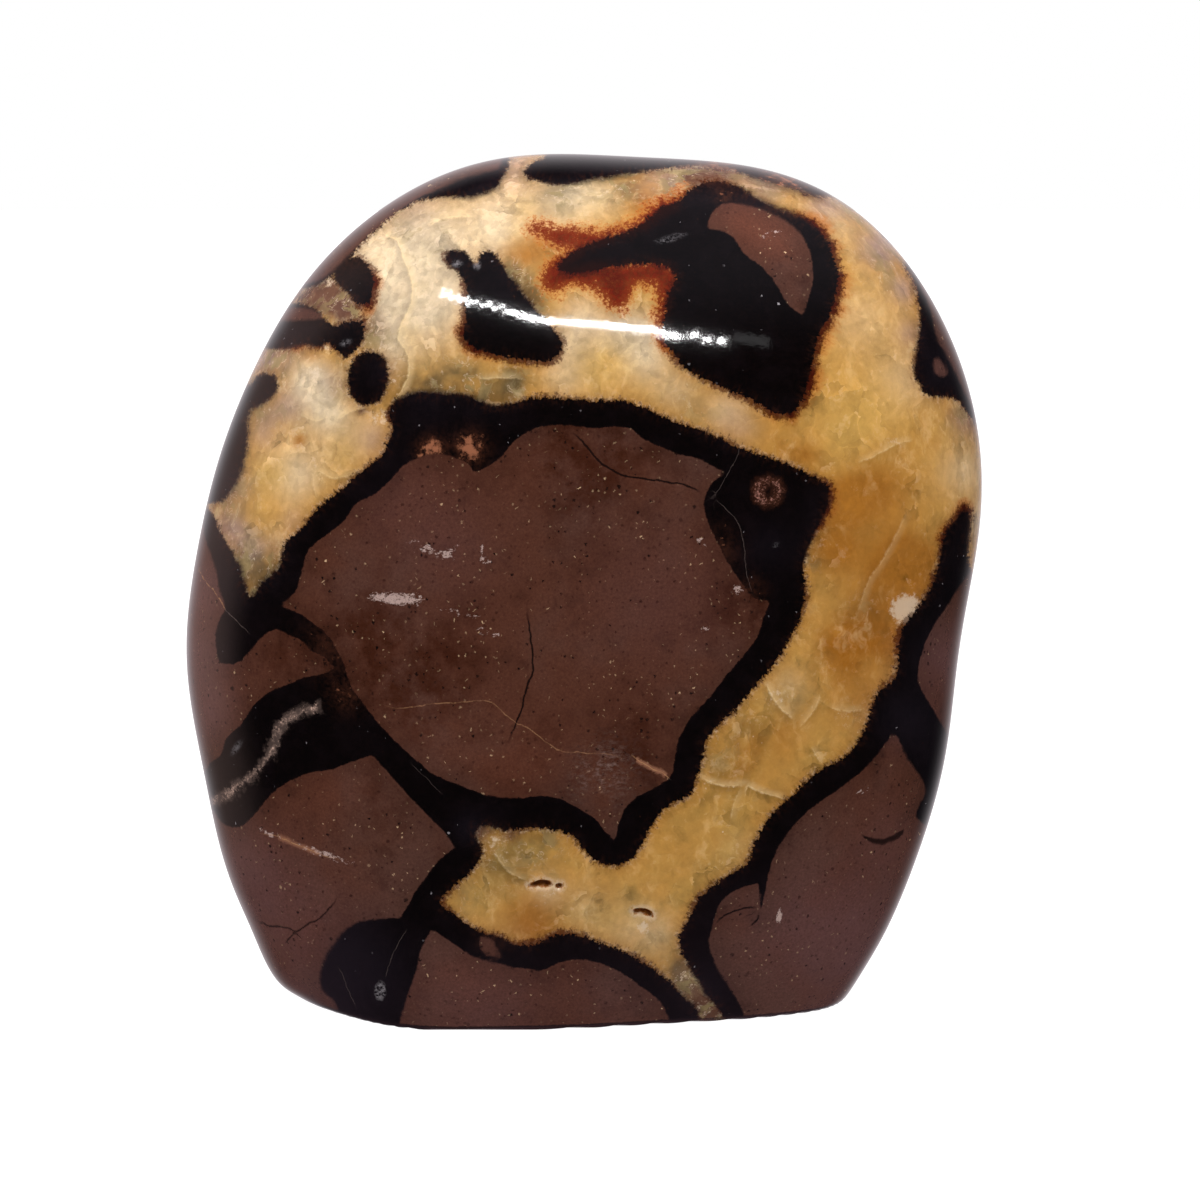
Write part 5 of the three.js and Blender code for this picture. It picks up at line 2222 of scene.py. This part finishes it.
@dataclass(frozen=True)
class LampTrack:
    """A thin bent tube of light above the viewer, in beads at its left end and in bulbs past its right
    end. It is only seen mirrored."""

    bends: tuple[Triple, ...] = (
        (-194, -261, 348), (-155, -303, 329), (-95, -337, 312), (-39, -361, 290), (17, -367, 282),
        (49, -375, 264),
    )  # mm
    bulbs: tuple[Triple, ...] = ((64, -371, 268), (80, -372, 259), (100, -371, 256))
    haze: tuple[Triple, Triple] = ((118, -366, 262), (172, -350, 248))
    thickness: float = 10.0  # mm
    bead: float = 9.0  # mm
    bead_share: float = 0.36  # of its length of tube that lies on each side of a bead's middle
    bead_sway: float = 3.5  # mm that the beads stand above and below the track by turns
    bulb_length: float = 1.2  # beads
    bulb_width: float = 1.15  # beads
    haze_width: float = 1.8  # tubes
    radiance: float = 60.0  # watts per square metre of tube and steradian
    haze_share: float = 0.012  # of that radiance
    pieces: int = 6  # lengths of tube between two bends
    beaded_from_left: int = 14  # lengths

    def lamp(
        self,
        name: str,
        ends: tuple[Vector, Vector],
        width: float,
        panel: Panel = Panel.ROUNDED,
        share: float = 1.0,
    ) -> None:
        """Hang one length of the tube, facing the origin.

        Args:
            name: Its name.
            ends: Its two ends, in metres.
            width: Its width in millimetres.
            panel: Its shape.
            share: How bright it is beside the tube.
        """
        start, end = ends
        run = end - start
        data = bpy.data.lights.new(name, "AREA")
        data.shape = panel.value
        data.size = run.length
        data.size_y = width * MM
        data.energy = share * self.radiance * math.pi * data.size * data.size_y
        lamp = placed(name, data)
        middle = (start + end) / 2
        ahead = -middle.normalized()
        along = (run - ahead * run.dot(ahead)).normalized()
        across = (-ahead).cross(along)
        lamp.matrix_world = Matrix.Translation(middle) @ Matrix((along, across, -ahead)).transposed().to_4x4()
        lamp.visible_camera = False
        lamp.visible_diffuse = False

    def build(self) -> None:
        """Hang the whole track."""
        path = [Vector(point) * MM for point in smooth_path(self.bends, closed=False, steps=self.pieces)]
        for index, (start, end) in enumerate(zip(path[:-1], path[1:])):
            if index < self.beaded_from_left:
                half = (end - start) * self.bead_share
                middle = (start + end) / 2 + Vector((0.0, 0.0, self.bead_sway * MM * (-1) ** index))
                self.lamp(f"bead_{index}", (middle - half, middle + half), self.bead)
            else:
                self.lamp(f"tube_{index}", (start, end), self.thickness)
        half = Vector((self.bead * MM * self.bulb_length / 2, 0.0, 0.0))
        for index, bulb in enumerate(self.bulbs):
            middle = Vector(bulb) * MM
            self.lamp(f"bulb_{index}", (middle - half, middle + half), self.bead * self.bulb_width)
        start, end = (Vector(point) * MM for point in self.haze)
        self.lamp("haze", (start, end), self.thickness * self.haze_width, Panel.STRAIGHT, self.haze_share)


@dataclass
class Studio:
    """A pale room: a plain floor, a soft backdrop and the lights."""

    floor_size: float = 40.0  # metres
    floor_tone: Colour = tone(97, 97, 97)
    floor_roughness: float = 0.9
    floor_glow: float = 1.02
    dark_side: Colour = tone(34, 32, 38)
    bright_side: Colour = tone(206, 198, 202)
    ceiling: Colour = tone(122, 118, 128)
    window: Colour = tone(188, 158, 150)
    below: Colour = tone(84, 68, 80)
    skylight: Skylight = Skylight()
    track: LampTrack = LampTrack()

    def floor(self) -> bpy.types.Object:
        """Lay the floor.

        Returns:
            The floor's object.
        """
        half = self.floor_size / 2
        mesh = bpy.data.meshes.new("floor")
        ring = [(-half, -half, 0), (half, -half, 0), (half, half, 0), (-half, half, 0)]
        mesh.from_pydata(ring, [], [(0, 1, 2, 3)])
        material, bench = fresh_material("pale_floor")
        matt = bench.node("ShaderNodeBsdfPrincipled", {}, {
            "Base Color": self.floor_tone,
            "Roughness": self.floor_roughness,
            "Specular IOR Level": 0.0,
            "Emission Color": WHITE,
            "Emission Strength": self.floor_glow,
        })
        bench.node("ShaderNodeOutputMaterial", {"target": "ALL"}, {"Surface": matt})
        mesh.materials.append(material)
        floor = placed("floor", mesh)
        floor.visible_glossy = False
        return floor

    def room(self) -> None:
        """Make the pale room all round, bright behind the stone and dark behind the viewer."""
        world = bpy.data.worlds.new("pale_room")
        world.use_nodes = True
        bpy.context.scene.world = world
        bench = Bench(world.node_tree)
        across, depth, height = bench.node("ShaderNodeTexCoord", {}, {}, "Generated").parts()
        bright = depth.rise(0.45, 1.0) * (1.0 - across.rise(0.2, 0.9) * 0.85)
        walls = bright.between(self.dark_side, self.bright_side)
        walls = walls.under(self.ceiling, height.rise(0.35, 0.8) * depth.fall(0.0, 0.5))
        window = across.fall(-1.0, -0.4) * depth.rise(-0.35, 0.15) * height.rise(-0.6, -0.15)
        walls = walls.under(self.window, window)
        walls = walls.under(self.below, height.fall(-0.8, -0.35))
        ray = bench.node("ShaderNodeLightPath", {}, {}, "Is Camera Ray")
        colour = walls.under(WHITE, ray)
        sky = bench.node("ShaderNodeBackground", {}, {"Color": colour, "Strength": 1.0})
        bench.node("ShaderNodeOutputWorld", {"target": "ALL"}, {"Surface": sky})

    def build(self) -> None:
        """Set up the floor, the room and the lights."""
        self.floor()
        self.room()
        self.skylight.build()
        self.track.build()
        bpy.context.scene.view_settings.view_transform = "Standard"


def corners(box: tuple[Vector, Vector]) -> list[list[float]]:
    """Turn a box's two corners into plain lists."""
    return [list(corner) for corner in box]


def main() -> None:
    """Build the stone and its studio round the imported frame."""
    logging.basicConfig(level=logging.INFO, format="%(message)s")
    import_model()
    viewpoint = Viewpoint()
    viewpoint.build()
    stone = Stone(Form(), Markings(viewpoint), PolishedStone())
    nodule = stone.build()
    stone.dress(nodule)
    LOG.info("%s: %d points, %d faces", nodule.name, len(nodule.data.vertices), len(nodule.data.polygons))
    Studio().build()


if __name__ == "__main__":
    main()
